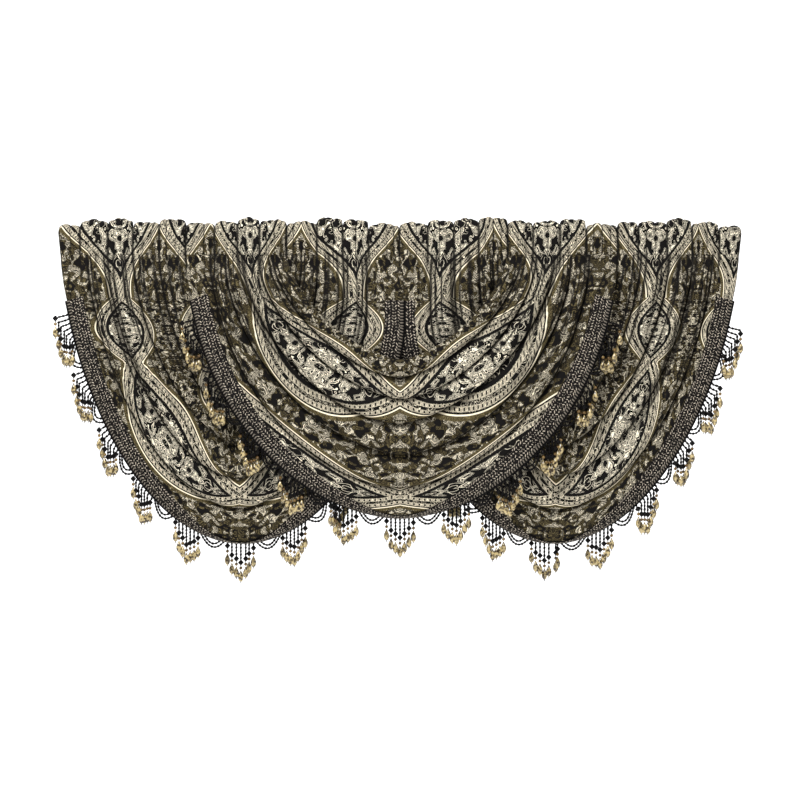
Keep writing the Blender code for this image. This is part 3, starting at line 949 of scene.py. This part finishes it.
def sleeve_columns(sleeve):
    """At each step along a sleeve: x, how far the seam is moved in, the line of points and
    how much shade is painted on it in a notch or a gather."""
    found = []
    start = sleeve.start
    whole = sum(head.width for head in sleeve.heads)
    for index, head in enumerate(sleeve.heads):
        last = index == len(sleeve.heads) - 1
        for step in range(HEAD_STEPS + last):
            share = step / HEAD_STEPS
            arch = abs(math.sin(math.pi * share))
            pressed = 0.0
            # Painted shade: dark in the notch between two heads
            painted_shade = 1.0 - min(share, 1.0 - share) * head.width / CREASE_SHADE_REACH
            for number, gather in enumerate(head.gathers):
                near = abs(share - gather) * head.width / GATHER_WIDE
                deep = GATHER_DEEP * (1.0 if number % 2 else 0.7)
                pressed += deep * max(1.0 - near, 0.0) ** 2
                # Painted shade in each finer gather
                painted_shade = max(painted_shade, 0.8 - near * 2.4)
            lip = CROWN_WAVE * math.sin(7.0 * share + 900.0 * head.width)
            notch = HEAD_NOTCH * (1.0 - arch**HEAD_ROUND)
            top = min(-head.drop - notch - 0.8 * pressed + lip * arch, 0.0)
            swell = SLEEVE_SWELL * arch**SWELL_ROUND
            line = rounded(sleeve_section(top, swell, pressed), AROUND)
            x = start + head.width * share
            x += SLEEVE_MORE * (2.0 * (x - sleeve.start) / whole - 1.0)
            from_left = max(1.0 - (x - sleeve.start) / NARROWS_OVER, 0.0)
            from_right = max(1.0 - (sleeve.start + whole - x) / NARROWS_OVER, 0.0)
            moved = sleeve.narrows[0] * from_left - sleeve.narrows[1] * from_right
            found.append((x, moved, line, max(painted_shade, 0.0)))
        start += head.width
    return found


# %% The line where each sleeve meets its panel
seams = {}
for valance in VALANCES:
    for side, sleeve in enumerate(valance.sleeves):
        made = sleeve_columns(sleeve)
        # Each seam keeps its x, its depth and the painted notch shade along it
        seams[valance.name, side] = (
            [x + moved for x, moved, line, painted_shade in made],
            [line[0][0] for x, moved, line, painted_shade in made],
            [painted_shade for x, moved, line, painted_shade in made],
        )
print("seam lines:", len(seams))

# %% [markdown]
# ## The three draped panels
#
# The panel is one sheet from the tucked neckline to the hem. Many columns of points follow
# the turn and many rows cross the folds, and each point takes its place from the main folds
# and the finer gathers. Solidify gives the sheet its thickness at the end, so the grid stays
# simple.


# %% Panels
def panel_places(valance):
    """Each row of the panel: its fold and its share of the fold's width."""
    rows = [(0, 0.0)]
    for band in range(len(valance.creases) - 1):
        for step in range(FOLD_STEPS):
            rows.append((band, (step + 1) / FOLD_STEPS))
    return rows


SEAM_BLEND = 0.085
# How far down the drape the painted notch shade carries
NOTCH_BLEND = 0.110


def hanging(valance, band, across, turn):
    """A point of the finished cloth with its small creases, and the shade painted on it in a
    crease.
    Under the seam it takes its depth and the painted notch shade from the sleeve, so the notches
    run on into the drape."""
    point = on_cloth(valance, band, across, turn)
    fall = -(point.z + HEADING + SEAM_GAP)
    held = 1.0
    last = band == len(valance.creases) - 2
    if last:
        held = 1.0 - ease(across / max(braid_share(valance, turn), 0.1))
    pressed, painted_shade = fine_relief(valance, band + across, turn, fall)
    inner, outer = valance.creases[band : band + 2]
    wide = math.hypot(
        (on_side(outer, turn) - on_side(inner, turn)) * math.cos(turn),
        (outer.drop - inner.drop) * math.sin(turn),
    )
    from_crease = across * wide if band else wide
    if not last:
        from_crease = min(from_crease, (1.0 - across) * wide)
    # Painted shade: dark along the main creases, and in the small ones away from the braid
    painted_shade = max(painted_shade * held, 1.0 - from_crease / CREASE_SHADE_REACH, 0.0)
    side = int(turn > math.pi / 2)
    start = on_cloth(valance, band, across, math.pi * side).x
    places, depths, notch_shade = seams[valance.name, side]
    point.y = blend(np.interp(start, places, depths), point.y + pressed * held,
                    ease(fall / SEAM_BLEND))
    # The painted notch shade from the sleeve runs a little way down the drape
    painted_shade = max(painted_shade, np.interp(start, places, notch_shade) * (1.0 - ease(fall / NOTCH_BLEND)))
    return point, float(painted_shade)


def neck_fold(valance, turn):
    """The top edge of the cascade turns back and down behind its first fold."""
    edge = on_cloth(valance, 0, 0.0, turn)
    inside = on_cloth(valance, 0, TUCK_REACH, turn)
    released = ease((-edge.z - HEADING) / valance.release)
    depth = blend(TUCK_AT_SEAM, TUCK, released)
    behind = -blend(SEAM_STAND, valance.stand, released) + depth
    return [
        Vector((inside.x, behind, inside.z)),
        Vector((edge.x, behind - 0.30 * depth, edge.z)).lerp(edge, 0.35),
    ]


def cloth_maps(valance, rows, steps):
    """The two UV maps for rows of places and columns of turns."""
    prints = [[] for _ in steps]
    threads = [[] for _ in steps]
    middle = len(steps) // 2
    for index, (band, across) in enumerate(rows):
        line = [on_cloth(valance, band, across, turn) for turn in steps]
        lengths = lengths_from_axis(line, middle)
        repeats = repeats_along(valance, line, lengths, middle)
        for at, turn in enumerate(steps):
            place = band + across
            prints[at].append((column_at(valance, place, turn), repeats[at]))
            threads[at].append((lengths[at], threads_at(valance, place, turn)))
    return prints, threads


CLOTH = 0.0020
turn_steps = [math.pi * step / TURN_STEPS for step in range(TURN_STEPS + 1)]
panels = {}
panel_maps = {}
for valance in VALANCES:
    rows = panel_places(valance)
    prints, threads = cloth_maps(valance, rows, turn_steps)
    panel_maps[valance.name] = (prints, threads)
    columns = []
    painted_shades = []
    for at, turn in enumerate(turn_steps):
        hung = [hanging(valance, band, across, turn) for band, across in rows]
        columns.append(neck_fold(valance, turn) + [point for point, painted_shade in hung])
        # Painted crease shade for each point; none on the two rows of the tucked neckline
        painted_shades.append([0.0, 0.0] + [painted_shade for point, painted_shade in hung])
        prints[at][:0] = [prints[at][0]] * 2
        along, wide = threads[at][0]
        threads[at][:0] = [(along, wide - 0.02), (along, wide - 0.006)]
    bm = sheet_of(columns, prints, threads, painted_shades)
    panel = object_of(bm, f"{valance.name}_damask_drape", DAMASK)
    thicken(panel, CLOTH)
    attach(panel, "root")
    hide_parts(f"{valance.name}_panel")
    panels[valance.name] = panel
    print(panel.name, len(panel.data.polygons), "faces on each side")

# %% [markdown]
# ## The sleeves themselves
#
# The pattern runs on from each panel into its sleeves, so the maps of a sleeve start with the
# values of its panel at the same place on the seam, and grow upwards from there.

# %% Headings
COLUMN_WIDE = 0.1


def heading_maps(valance, side, x, line):
    """The UV values down the front of a sleeve at one x, carried on from its panel."""
    turn_at = 0 if side == "left" else -1
    prints, threads = panel_maps[valance.name]
    creases = [on_side(c, 0.0 if side == "left" else math.pi) for c in valance.creases]
    away = abs(x - valance.axis)
    place = float(np.interp(away, creases, range(len(creases))))
    row = place * FOLD_STEPS + 2
    found = []
    for pairs in (prints[turn_at], threads[turn_at]):
        for numbers in zip(*pairs):
            found.append(float(np.interp(row, range(len(pairs)), numbers)))
    column, repeat, along, wide = found
    past = away - min(max(away, creases[0]), creases[-1])
    column += past / COLUMN_WIDE
    wide += past * GATHER_RATIO
    grow = 1.0 if side == "right" else -1.0
    upwards = math.copysign(1.0 / HEADING_REPEAT, valance.repeats[0][1])
    values = []
    length = 0.0
    for at, point in enumerate(line):
        if at:
            length += (point - line[at - 1]).length
        values.append(((column, repeat + length * upwards), (along + grow * length, wide)))
    return values


headings = {}
for valance in VALANCES:
    for side, sleeve in zip(("left", "right"), valance.sleeves):
        columns, prints, threads, painted_shades = [], [], [], []
        for x, moved, line, painted_shade in sleeve_columns(sleeve):
            line = line + line[:1]
            values = heading_maps(valance, side, x + moved, line)
            shares = [-point[1] / HEADING for point in line]
            columns.append(
                [Vector((x + moved * share, *point)) for share, point in zip(shares, line)]
            )
            prints.append([value[0] for value in values])
            threads.append([value[1] for value in values])
            # Painted notch and gather shade, the same all round each section
            painted_shades.append([painted_shade] * len(line))
        bm = sheet_of(columns, prints, threads, painted_shades)
        bmesh.ops.remove_doubles(bm, verts=bm.verts[:], dist=0.00001)
        bmesh.ops.recalc_face_normals(bm, faces=bm.faces[:])
        name = f"{valance.name}_{side}_gathered_heading"
        heading = object_of(bm, name, DAMASK)
        thicken(heading, CLOTH)
        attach(heading, "root")
        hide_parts(f"{valance.name}_heading_{side}")
        headings[name] = heading
print("headings:", len(headings))

# %% [markdown]
# ## The woven braid
#
# The braid is a flat gimp about 42 mm wide, sewn on the front of the cloth along the hem. It
# is woven in herringbone rows, with a ribbed cord along its outer edge. It follows the
# cloth's own points, lifted off them, and its rows and ribs are real relief, because they
# catch the light at the edge of the cloth.

# %% The braid's finish
BRAID_DARK = (0.0045, 0.0038, 0.0034, 1.0)
BRAID_PALE = (0.5000, 0.4350, 0.3500, 1.0)
RIB = 0.0074
ROW = 0.0071
CORD = 0.0080
CORD_HIGH = 0.0009
RIB_HIGH = 0.0002
ROW_HIGH = 0.0004


def braid_finish():
    """Dark yarn with taupe flecks in herringbone rows."""
    material, shader, n = new_finish("woven_braid", 0.85)
    shader.inputs["Specular IOR Level"].default_value = 0.12
    along, across = n.map_of("threads")
    rows = n.times(across, 1.0 / ROW)
    lean = n.maths("PINGPONG", rows, 1.0)
    slant = n.plus(n.times(along, 1.0 / RIB), lean)
    fleck = n.near(n.maths("FRACT", slant), 0.5, 0.16, 0.06)
    row_line = n.near(n.maths("FRACT", rows), 0.5, 0.25, 0.08)
    broken = n.noise(n.point(along, across), 170.0, detail=1.0)
    fleck = n.times(n.times(fleck, row_line), n.step(broken, 0.44, 0.54))
    cord = n.step(across, BRAID_WIDTH - CORD, BRAID_WIDTH - CORD + 0.001)
    rib = n.near(n.maths("FRACT", n.times(along, 1.0 / RIB)), 0.5, 0.12, 0.12)
    rib = n.times(rib, 0.35)
    pale = n.plus(n.times(fleck, n.rest(cord)),
                   n.times(rib, cord))
    n.put(shader.inputs["Base Color"], n.mixed(pale, BRAID_DARK, BRAID_PALE))
    n.put(shader.inputs["Normal"], n.bump(n.maths("FRACT", slant), 0.0005, 0.5))
    return material


BRAID = braid_finish()

# %% Braids along the hems
BRAID_START = 0.2050
BRAID_LIFT = 0.0027
BRAID_THICK = 0.0018
BRAID_ROWS = 16
BRAID_PITCH = 0.0021
WALK_STEPS = 240


def steps_between(count, first, last):
    return [blend(first, last, step / count) for step in range(count + 1)]


def braid_ends(valance):
    """The turns at which the braid starts and ends along the hem."""
    depth = valance.creases[-1].drop - HEADING
    tried = steps_between(WALK_STEPS, 0.0, math.pi)
    falls = [fall_at(valance, depth, 1.0, turn)[0] for turn in tried]
    half = WALK_STEPS // 2
    start = BRAID_START - HEADING
    first = np.interp(start, falls[: half + 1], tried[: half + 1])
    last = np.interp(start, falls[:half:-1], tried[:half:-1])
    return float(first), float(last)


def braid_turns(valance):
    """Turns along the hem at even lengths, close enough for the ribs."""
    first, last = braid_ends(valance)
    tried = steps_between(3 * WALK_STEPS, first, last)
    band = len(valance.creases) - 2
    hem = [on_cloth(valance, band, 1.0, turn) for turn in tried]
    lengths = lengths_from_axis(hem, 0)
    count = int(lengths[-1] / BRAID_PITCH)
    return [float(np.interp(lengths[-1] * k / count, lengths, tried)) for k in range(count + 1)]


def braid_relief(along, across):
    """The height of the herringbone rows and of the ribbed outer edge."""
    if across > BRAID_WIDTH - CORD:
        round_cord = math.sin(math.pi * (across - BRAID_WIDTH + CORD) / CORD)
        ribs = math.cos(2 * math.pi * along / RIB / 2)
        return CORD_HIGH * abs(round_cord) + RIB_HIGH * ribs
    return ROW_HIGH * abs(math.sin(math.pi * across / ROW))


braids = {}
for valance in VALANCES:
    band = len(valance.creases) - 2
    turns = braid_turns(valance)
    columns = []
    for turn in turns:
        start = braid_share(valance, turn)
        shares = steps_between(BRAID_ROWS, start, 1.0)
        columns.append([on_cloth(valance, band, across, turn) for across in shares])
    lengths = lengths_from_axis([column[-1] for column in columns], len(turns) // 2)
    widths = steps_between(BRAID_ROWS, 0.0, BRAID_WIDTH)
    threads = [[(length, wide) for wide in widths] for length in lengths]
    bm = sheet_of(columns, threads, threads)
    layer = bm.loops.layers.uv["threads"]
    for vert in bm.verts:
        along, across = vert.link_loops[0][layer].uv
        facing = vert.normal if vert.normal.y < 0.0 else -vert.normal
        vert.co += facing * (BRAID_LIFT + braid_relief(along, across))
    braid = object_of(bm, f"{valance.name}_woven_braid", BRAID)
    thicken(braid, BRAID_THICK)
    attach(braid, "root")
    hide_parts(f"{valance.name}_braid")
    braids[valance.name] = braid
    print(braid.name, round(lengths[-1] - lengths[0], 2), "m")

# %% [markdown]
# ## The beaded fringe
#
# Groups of seven strands hang from a narrow tape under the braid, shorter at the sides and
# longest in the middle. A strand is a thread of small black beads, a black diamond bead, a
# small amber bead, a pale drop and a tiny tip. Between groups two loops of black beads swing
# under the hem. Each bead is a small closed shape made by an operator with its own matrix,
# and the beads of one fringe are joined in one mesh.

# %% Bead shapes
SEED_ACROSS = 0.0070
SEED_LONG = 0.0076
DIAMOND_ACROSS = 0.0158
DIAMOND_LONG = 0.0138
AMBER_ACROSS = 0.0090
DROP_ACROSS = 0.0142
DROP_LONG = 0.0290
DROP_STEPS = (0.34, 0.66, 0.90, 1.00, 0.94, 0.70)
DROP_SIDES = 7
THREAD = 0.0018
TIP_LONG = 0.0030


def placed(point, way):
    """A matrix that stands a bead's own z axis along a way, at a point."""
    return Matrix.Translation(point) @ way.to_track_quat("Z", "Y").to_matrix().to_4x4()


def add_seed(bm, point, way, across=SEED_ACROSS, long=SEED_LONG):
    """A small round or long bead of twenty faces."""
    size = Matrix.Diagonal((across / 2, across / 2, long / 2, 1.0))
    bmesh.ops.create_icosphere(bm, subdivisions=1, radius=1.0, matrix=placed(point, way) @ size)


def add_diamond(bm, point, way):
    """A faceted bead like two pyramids, base to base."""
    place = placed(point, way)
    for turned in (0.0, math.pi):
        half = Matrix.Rotation(turned, 4, "X") @ Matrix.Translation((0, 0, DIAMOND_LONG / 4))
        bmesh.ops.create_cone(
            bm, cap_ends=True, segments=6, radius1=DIAMOND_ACROSS / 2,
            radius2=DIAMOND_ACROSS / 12, depth=DIAMOND_LONG / 2, matrix=place @ half,
        )


def add_drop(bm, top, way):
    """A pale drop: a ring extruded down a rounded outline, closed at both ends."""
    place = placed(top, way)
    made = bmesh.ops.create_circle(
        bm, cap_ends=True, segments=DROP_SIDES, radius=0.0008, matrix=place
    )
    cap = made["verts"][0].link_faces[0]
    count = len(DROP_STEPS)
    for index, wide in enumerate(DROP_STEPS + (0.12,)):
        grown = bmesh.ops.extrude_face_region(bm, geom=[cap])["geom"]
        if index:
            bmesh.ops.delete(bm, geom=[cap], context="FACES_ONLY")
        cap = next(item for item in grown if isinstance(item, bmesh.types.BMFace))
        low = DROP_LONG * (index + 1) / (count + 1)
        for number, vert in enumerate(cap.verts):
            angle = 2.0 * math.pi * number / DROP_SIDES
            spoke = Vector((math.cos(angle), math.sin(angle), 0.0)) * wide * DROP_ACROSS / 2
            vert.co = place @ Vector((spoke.x, spoke.y, low))


# %% [markdown]
# The beads are glass: black ones that hardly shine, amber ones, and clouded pale drops. A
# clear coat gives the amber and pale ones a small highlight, and costs less time than light
# traced through the glass. Three finishes share one fringe mesh, so each group of beads is
# built in its own small mesh and joined with its own material number.


# %% Bead finishes
def glass(name, colour, roughness, coat, tint):
    """Glossy glass with a little cloud and colour change inside."""
    material, shader, n = new_finish(name, roughness)
    coords = n.tree.nodes.new("ShaderNodeTexCoord")
    cloud = n.noise(coords.outputs["Object"], 160.0, detail=1.0)
    n.put(shader.inputs["Base Color"], n.mixed(n.step(cloud, 0.35, 0.65), colour, tint))
    shader.inputs["Specular IOR Level"].default_value = 0.06 + 0.5 * coat
    shader.inputs["Coat Weight"].default_value = coat
    shader.inputs["Coat Roughness"].default_value = 0.12
    return material


JET = glass("jet_beads", (0.002, 0.002, 0.002, 1), 0.45, 0.04, (0.004, 0.003, 0.003, 1))
AMBER = glass("amber_beads", (0.08, 0.042, 0.012, 1), 0.25, 0.3, (0.20, 0.125, 0.040, 1))
PALE_DROP = glass("pale_drops", (0.030, 0.018, 0.007, 1), 0.20, 0.5, (0.52, 0.41, 0.20, 1))
BEAD_FINISHES = (JET, AMBER, PALE_DROP)

# %% Where the strands hang
STRAND_LENGTHS = (0.063, 0.080, 0.088, 0.098, 0.089, 0.079, 0.067)
STRAND_PITCH = 0.0110
GROUP_PITCH = 0.1430
SIDE_GROUPS = 5
LENGTH_SPREAD = 0.0030
LANE_PITCH = 0.0068
LANE_STAGGER = 0.0046
ELBOW = 0.0055
ELBOW_SHARE = 0.23
ELBOW_DIP = 0.0022
LOOP_SPAN = 0.0620
LOOP_SAG = 0.0240
INNER_SPAN = 0.68
INNER_SAG = 0.62
LOOP_STEPS = 16
TAPE_GAP = 0.0006
TAPE_WIDTH = 0.0042
TAPE_THICK = 0.0020
TAPE_STEPS = 160
NEARBY = 0.10
NEARBY_TURN = 0.01
SEED = 11


def hem_frame(valance, turn):
    """At the hem: the point, the way out past the edge and the way the front faces."""
    band = len(valance.creases) - 2
    point = on_cloth(valance, band, 1.0, turn)
    outward = (point - on_cloth(valance, band, 1.0 - NEARBY, turn)).normalized()
    ahead = on_cloth(valance, band, 1.0, min(turn + NEARBY_TURN, math.pi))
    behind = on_cloth(valance, band, 1.0, max(turn - NEARBY_TURN, 0.0))
    front = outward.cross(ahead - behind).normalized()
    if front.y > 0.0:
        front.negate()
    return point, outward, front


def tape_point(valance, turn, across):
    """A point of the fringe's tape, at a share of its width."""
    point, outward, front = hem_frame(valance, turn)
    return point + outward * (TAPE_GAP + TAPE_WIDTH * across) + front * (BRAID_LIFT / 2)


def hem_walk(valance):
    """Lengths along the tape from the axis, and the turn at each."""
    steps = steps_between(WALK_STEPS, 0.0, math.pi)
    points = [tape_point(valance, turn, 0.5) for turn in steps]
    return lengths_from_axis(points, WALK_STEPS // 2), steps


def strand_path(root, outward, lane, length, stagger):
    """A strand's line: out past the tape where the hem is steep, then straight down."""
    points = [root]
    if stagger:
        sunk = Vector((0.0, stagger * ELBOW_SHARE, -ELBOW_DIP))
        points.append(root + outward * ELBOW + sunk)
    below = root.y + stagger
    points.append(Vector((lane, below, points[-1].z - 0.006)))
    points.append(Vector((lane, below, root.z - length)))
    return points


def group_paths(valance, walk, group, draw):
    """The lines of the seven strands of one group."""
    count = len(STRAND_LENGTHS)
    roots = []
    for index in range(count):
        middle = group * GROUP_PITCH + valance.fringe_shift
        length = middle + (index - count // 2) * STRAND_PITCH
        turn = float(np.interp(length, *walk))
        roots.append((tape_point(valance, turn, 0.5), hem_frame(valance, turn)[1]))
    keeper = roots[0][0] if group > 0 else roots[-1][0]
    keeper_index = 0 if group > 0 else count - 1
    shift = ELBOW if abs(group) > 1 else 0.0
    start = keeper.x + math.copysign(shift, group)
    paths = []
    for index, (root, outward) in enumerate(roots):
        natural = root.x - keeper.x
        wanted = (index - keeper_index) * LANE_PITCH
        spread = natural if abs(natural) > abs(wanted) else wanted
        steep = abs(natural) < abs(wanted) or index == keeper_index and shift > 0.0
        lane = start + spread if shift else root.x
        stagger = LANE_STAGGER * (1 if index % 2 else -1) * steep
        length = STRAND_LENGTHS[index] + draw.uniform(-LENGTH_SPREAD, LENGTH_SPREAD)
        paths.append(strand_path(root, outward, lane, length, stagger))
    return paths


# %% Threading the beads
def along_line(points, distance):
    """The point and the way at a distance along a line of points."""
    for first, second in zip(points, points[1:]):
        length = (second - first).length
        if distance <= length or second is points[-1]:
            way = (second - first).normalized()
            return first + way * distance, way
        distance -= length
    return points[-1], Vector((0, 0, -1))


def length_of(points):
    return sum((second - first).length for first, second in zip(points, points[1:]))


def thread_seeds(bm, points, first, last):
    """Small black beads, one after the other, along part of a line, on their thread."""
    passed = 0.0
    for start, end in zip(points, points[1:]):
        length = (end - start).length
        shown = min(length, last - passed)
        if shown > 0.0005:
            way = (end - start).normalized()
            bmesh.ops.create_cone(
                bm, segments=4, radius1=THREAD, radius2=THREAD, depth=shown,
                matrix=placed(start + way * (shown / 2), way),
            )
        passed += length
    count = max(int((last - first) / SEED_LONG), 1)
    pitch = (last - first) / count
    for number in range(count):
        point, way = along_line(points, first + pitch * (number + 0.5))
        long = pitch * (0.98 if number % 3 else 1.10)
        across = SEED_ACROSS * (1.0 if number % 2 else 0.88)
        add_seed(bm, point, way, across, long)


def add_strand(parts, points):
    """One strand from its root to its tip."""
    whole = length_of(points)
    drop_top = whole - TIP_LONG - DROP_LONG
    amber_at = drop_top - AMBER_ACROSS / 2 - 0.0012
    diamond_at = amber_at - AMBER_ACROSS / 2 - 0.0022 - DIAMOND_LONG / 2
    thread_seeds(parts[0], points, 0.0, diamond_at - DIAMOND_LONG / 2)
    add_diamond(parts[0], *along_line(points, diamond_at))
    spacer_at = amber_at - AMBER_ACROSS / 2 - 0.0010
    add_seed(parts[0], *along_line(points, spacer_at), 0.0030, 0.0026)
    add_seed(parts[1], *along_line(points, amber_at), AMBER_ACROSS, AMBER_ACROSS)
    add_drop(parts[2], *along_line(points, drop_top))
    add_seed(parts[0], *along_line(points, whole - TIP_LONG / 2), 0.0028, TIP_LONG)


def add_loops(parts, valance, walk, middle):
    """Two loops of black beads, one inside the other."""
    for span, sag in ((LOOP_SPAN, LOOP_SAG), (LOOP_SPAN * INNER_SPAN, LOOP_SAG * INNER_SAG)):
        ends = []
        for side in (-0.5, 0.5):
            turn = float(np.interp(middle + side * span, *walk))
            ends.append(tape_point(valance, turn, 0.6))
        out = hem_frame(valance, float(np.interp(middle, *walk)))[1]
        down = Vector((0.7 * out.x, 0.0, min(out.z, -0.55))).normalized()
        points = []
        for step in range(LOOP_STEPS + 1):
            share = step / LOOP_STEPS
            swing = 1.0 - (2.0 * share - 1.0) ** 2
            points.append(ends[0].lerp(ends[1], share) + down * (sag * swing))
        thread_seeds(parts[0], points, 0.0, length_of(points))


def joined(bm, part, number):
    """Adds one small mesh of beads to the fringe, with its material number."""
    for face in part.faces:
        face.material_index = number
    mesh = bpy.data.meshes.new("part")
    part.to_mesh(mesh)
    part.free()
    bm.from_mesh(mesh)
    bpy.data.meshes.remove(mesh)


# %% Fringes
def add_tape(bm, valance):
    """The narrow tape that the strands hang from."""
    first, last = braid_ends(valance)
    columns = []
    for turn in steps_between(TAPE_STEPS, first, last):
        columns.append([tape_point(valance, turn, across) for across in (0.0, 0.5, 1.0)])
    tape = bmesh.new()
    bmesh.ops.create_grid(tape, x_segments=TAPE_STEPS, y_segments=2, size=1.0)
    tape.verts.ensure_lookup_table()
    for vert, place in zip(tape.verts, [p for row in zip(*columns) for p in row]):
        vert.co = place
    bmesh.ops.solidify(tape, geom=tape.faces[:], thickness=TAPE_THICK)
    bmesh.ops.recalc_face_normals(tape, faces=tape.faces[:])
    joined(bm, tape, 0)


for valance in VALANCES:
    walk = hem_walk(valance)
    draw = random.Random(SEED)
    bm = bmesh.new()
    add_tape(bm, valance)
    first, last = -SIDE_GROUPS + valance.hidden[0], SIDE_GROUPS - valance.hidden[1]
    for group in range(first, last + 1):
        parts = [bmesh.new(), bmesh.new(), bmesh.new()]
        for points in group_paths(valance, walk, group, draw):
            add_strand(parts, points)
        if group < last:
            middle = (group + 0.5) * GROUP_PITCH + valance.fringe_shift
            add_loops(parts, valance, walk, middle)
        for number, part in enumerate(parts):
            joined(bm, part, number)
    bmesh.ops.recalc_face_normals(bm, faces=bm.faces[:])
    fringe = object_of(bm, f"{valance.name}_bead_fringe", JET)
    for finish in BEAD_FINISHES[1:]:
        fringe.data.materials.append(finish)
    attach(fringe, "root")
    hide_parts(f"{valance.name}_fringe")
    fringe.data.calc_loop_triangles()
    print(fringe.name, len(fringe.data.loop_triangles), "triangles")

# %% [markdown]
# ## Flat sizes
#
# Cloth doesn't stretch, so the width each sheet was cut to is listed. The area of each
# finished mesh is measured, and for the headings it is printed beside the flat size.


CUT_WIDE = {"left": 1.75, "centre": 1.95, "right": 1.75}
SLEEVE_CUT = 0.205


def one_side(obj):
    """The area of a sheet before it gets its thickness, in square metres."""
    return sum(face.area for face in obj.data.polygons)


for valance in VALANCES:
    panel = panels[valance.name]
    area = one_side(panel)
    wide = CUT_WIDE[valance.name]
for name, heading in headings.items():
    area = one_side(heading)
    wide = round(area / SLEEVE_CUT, 3)
    print(name, "area", round(area, 4), "cut", wide, "x", SLEEVE_CUT)
for name, braid in braids.items():
    area = one_side(braid)
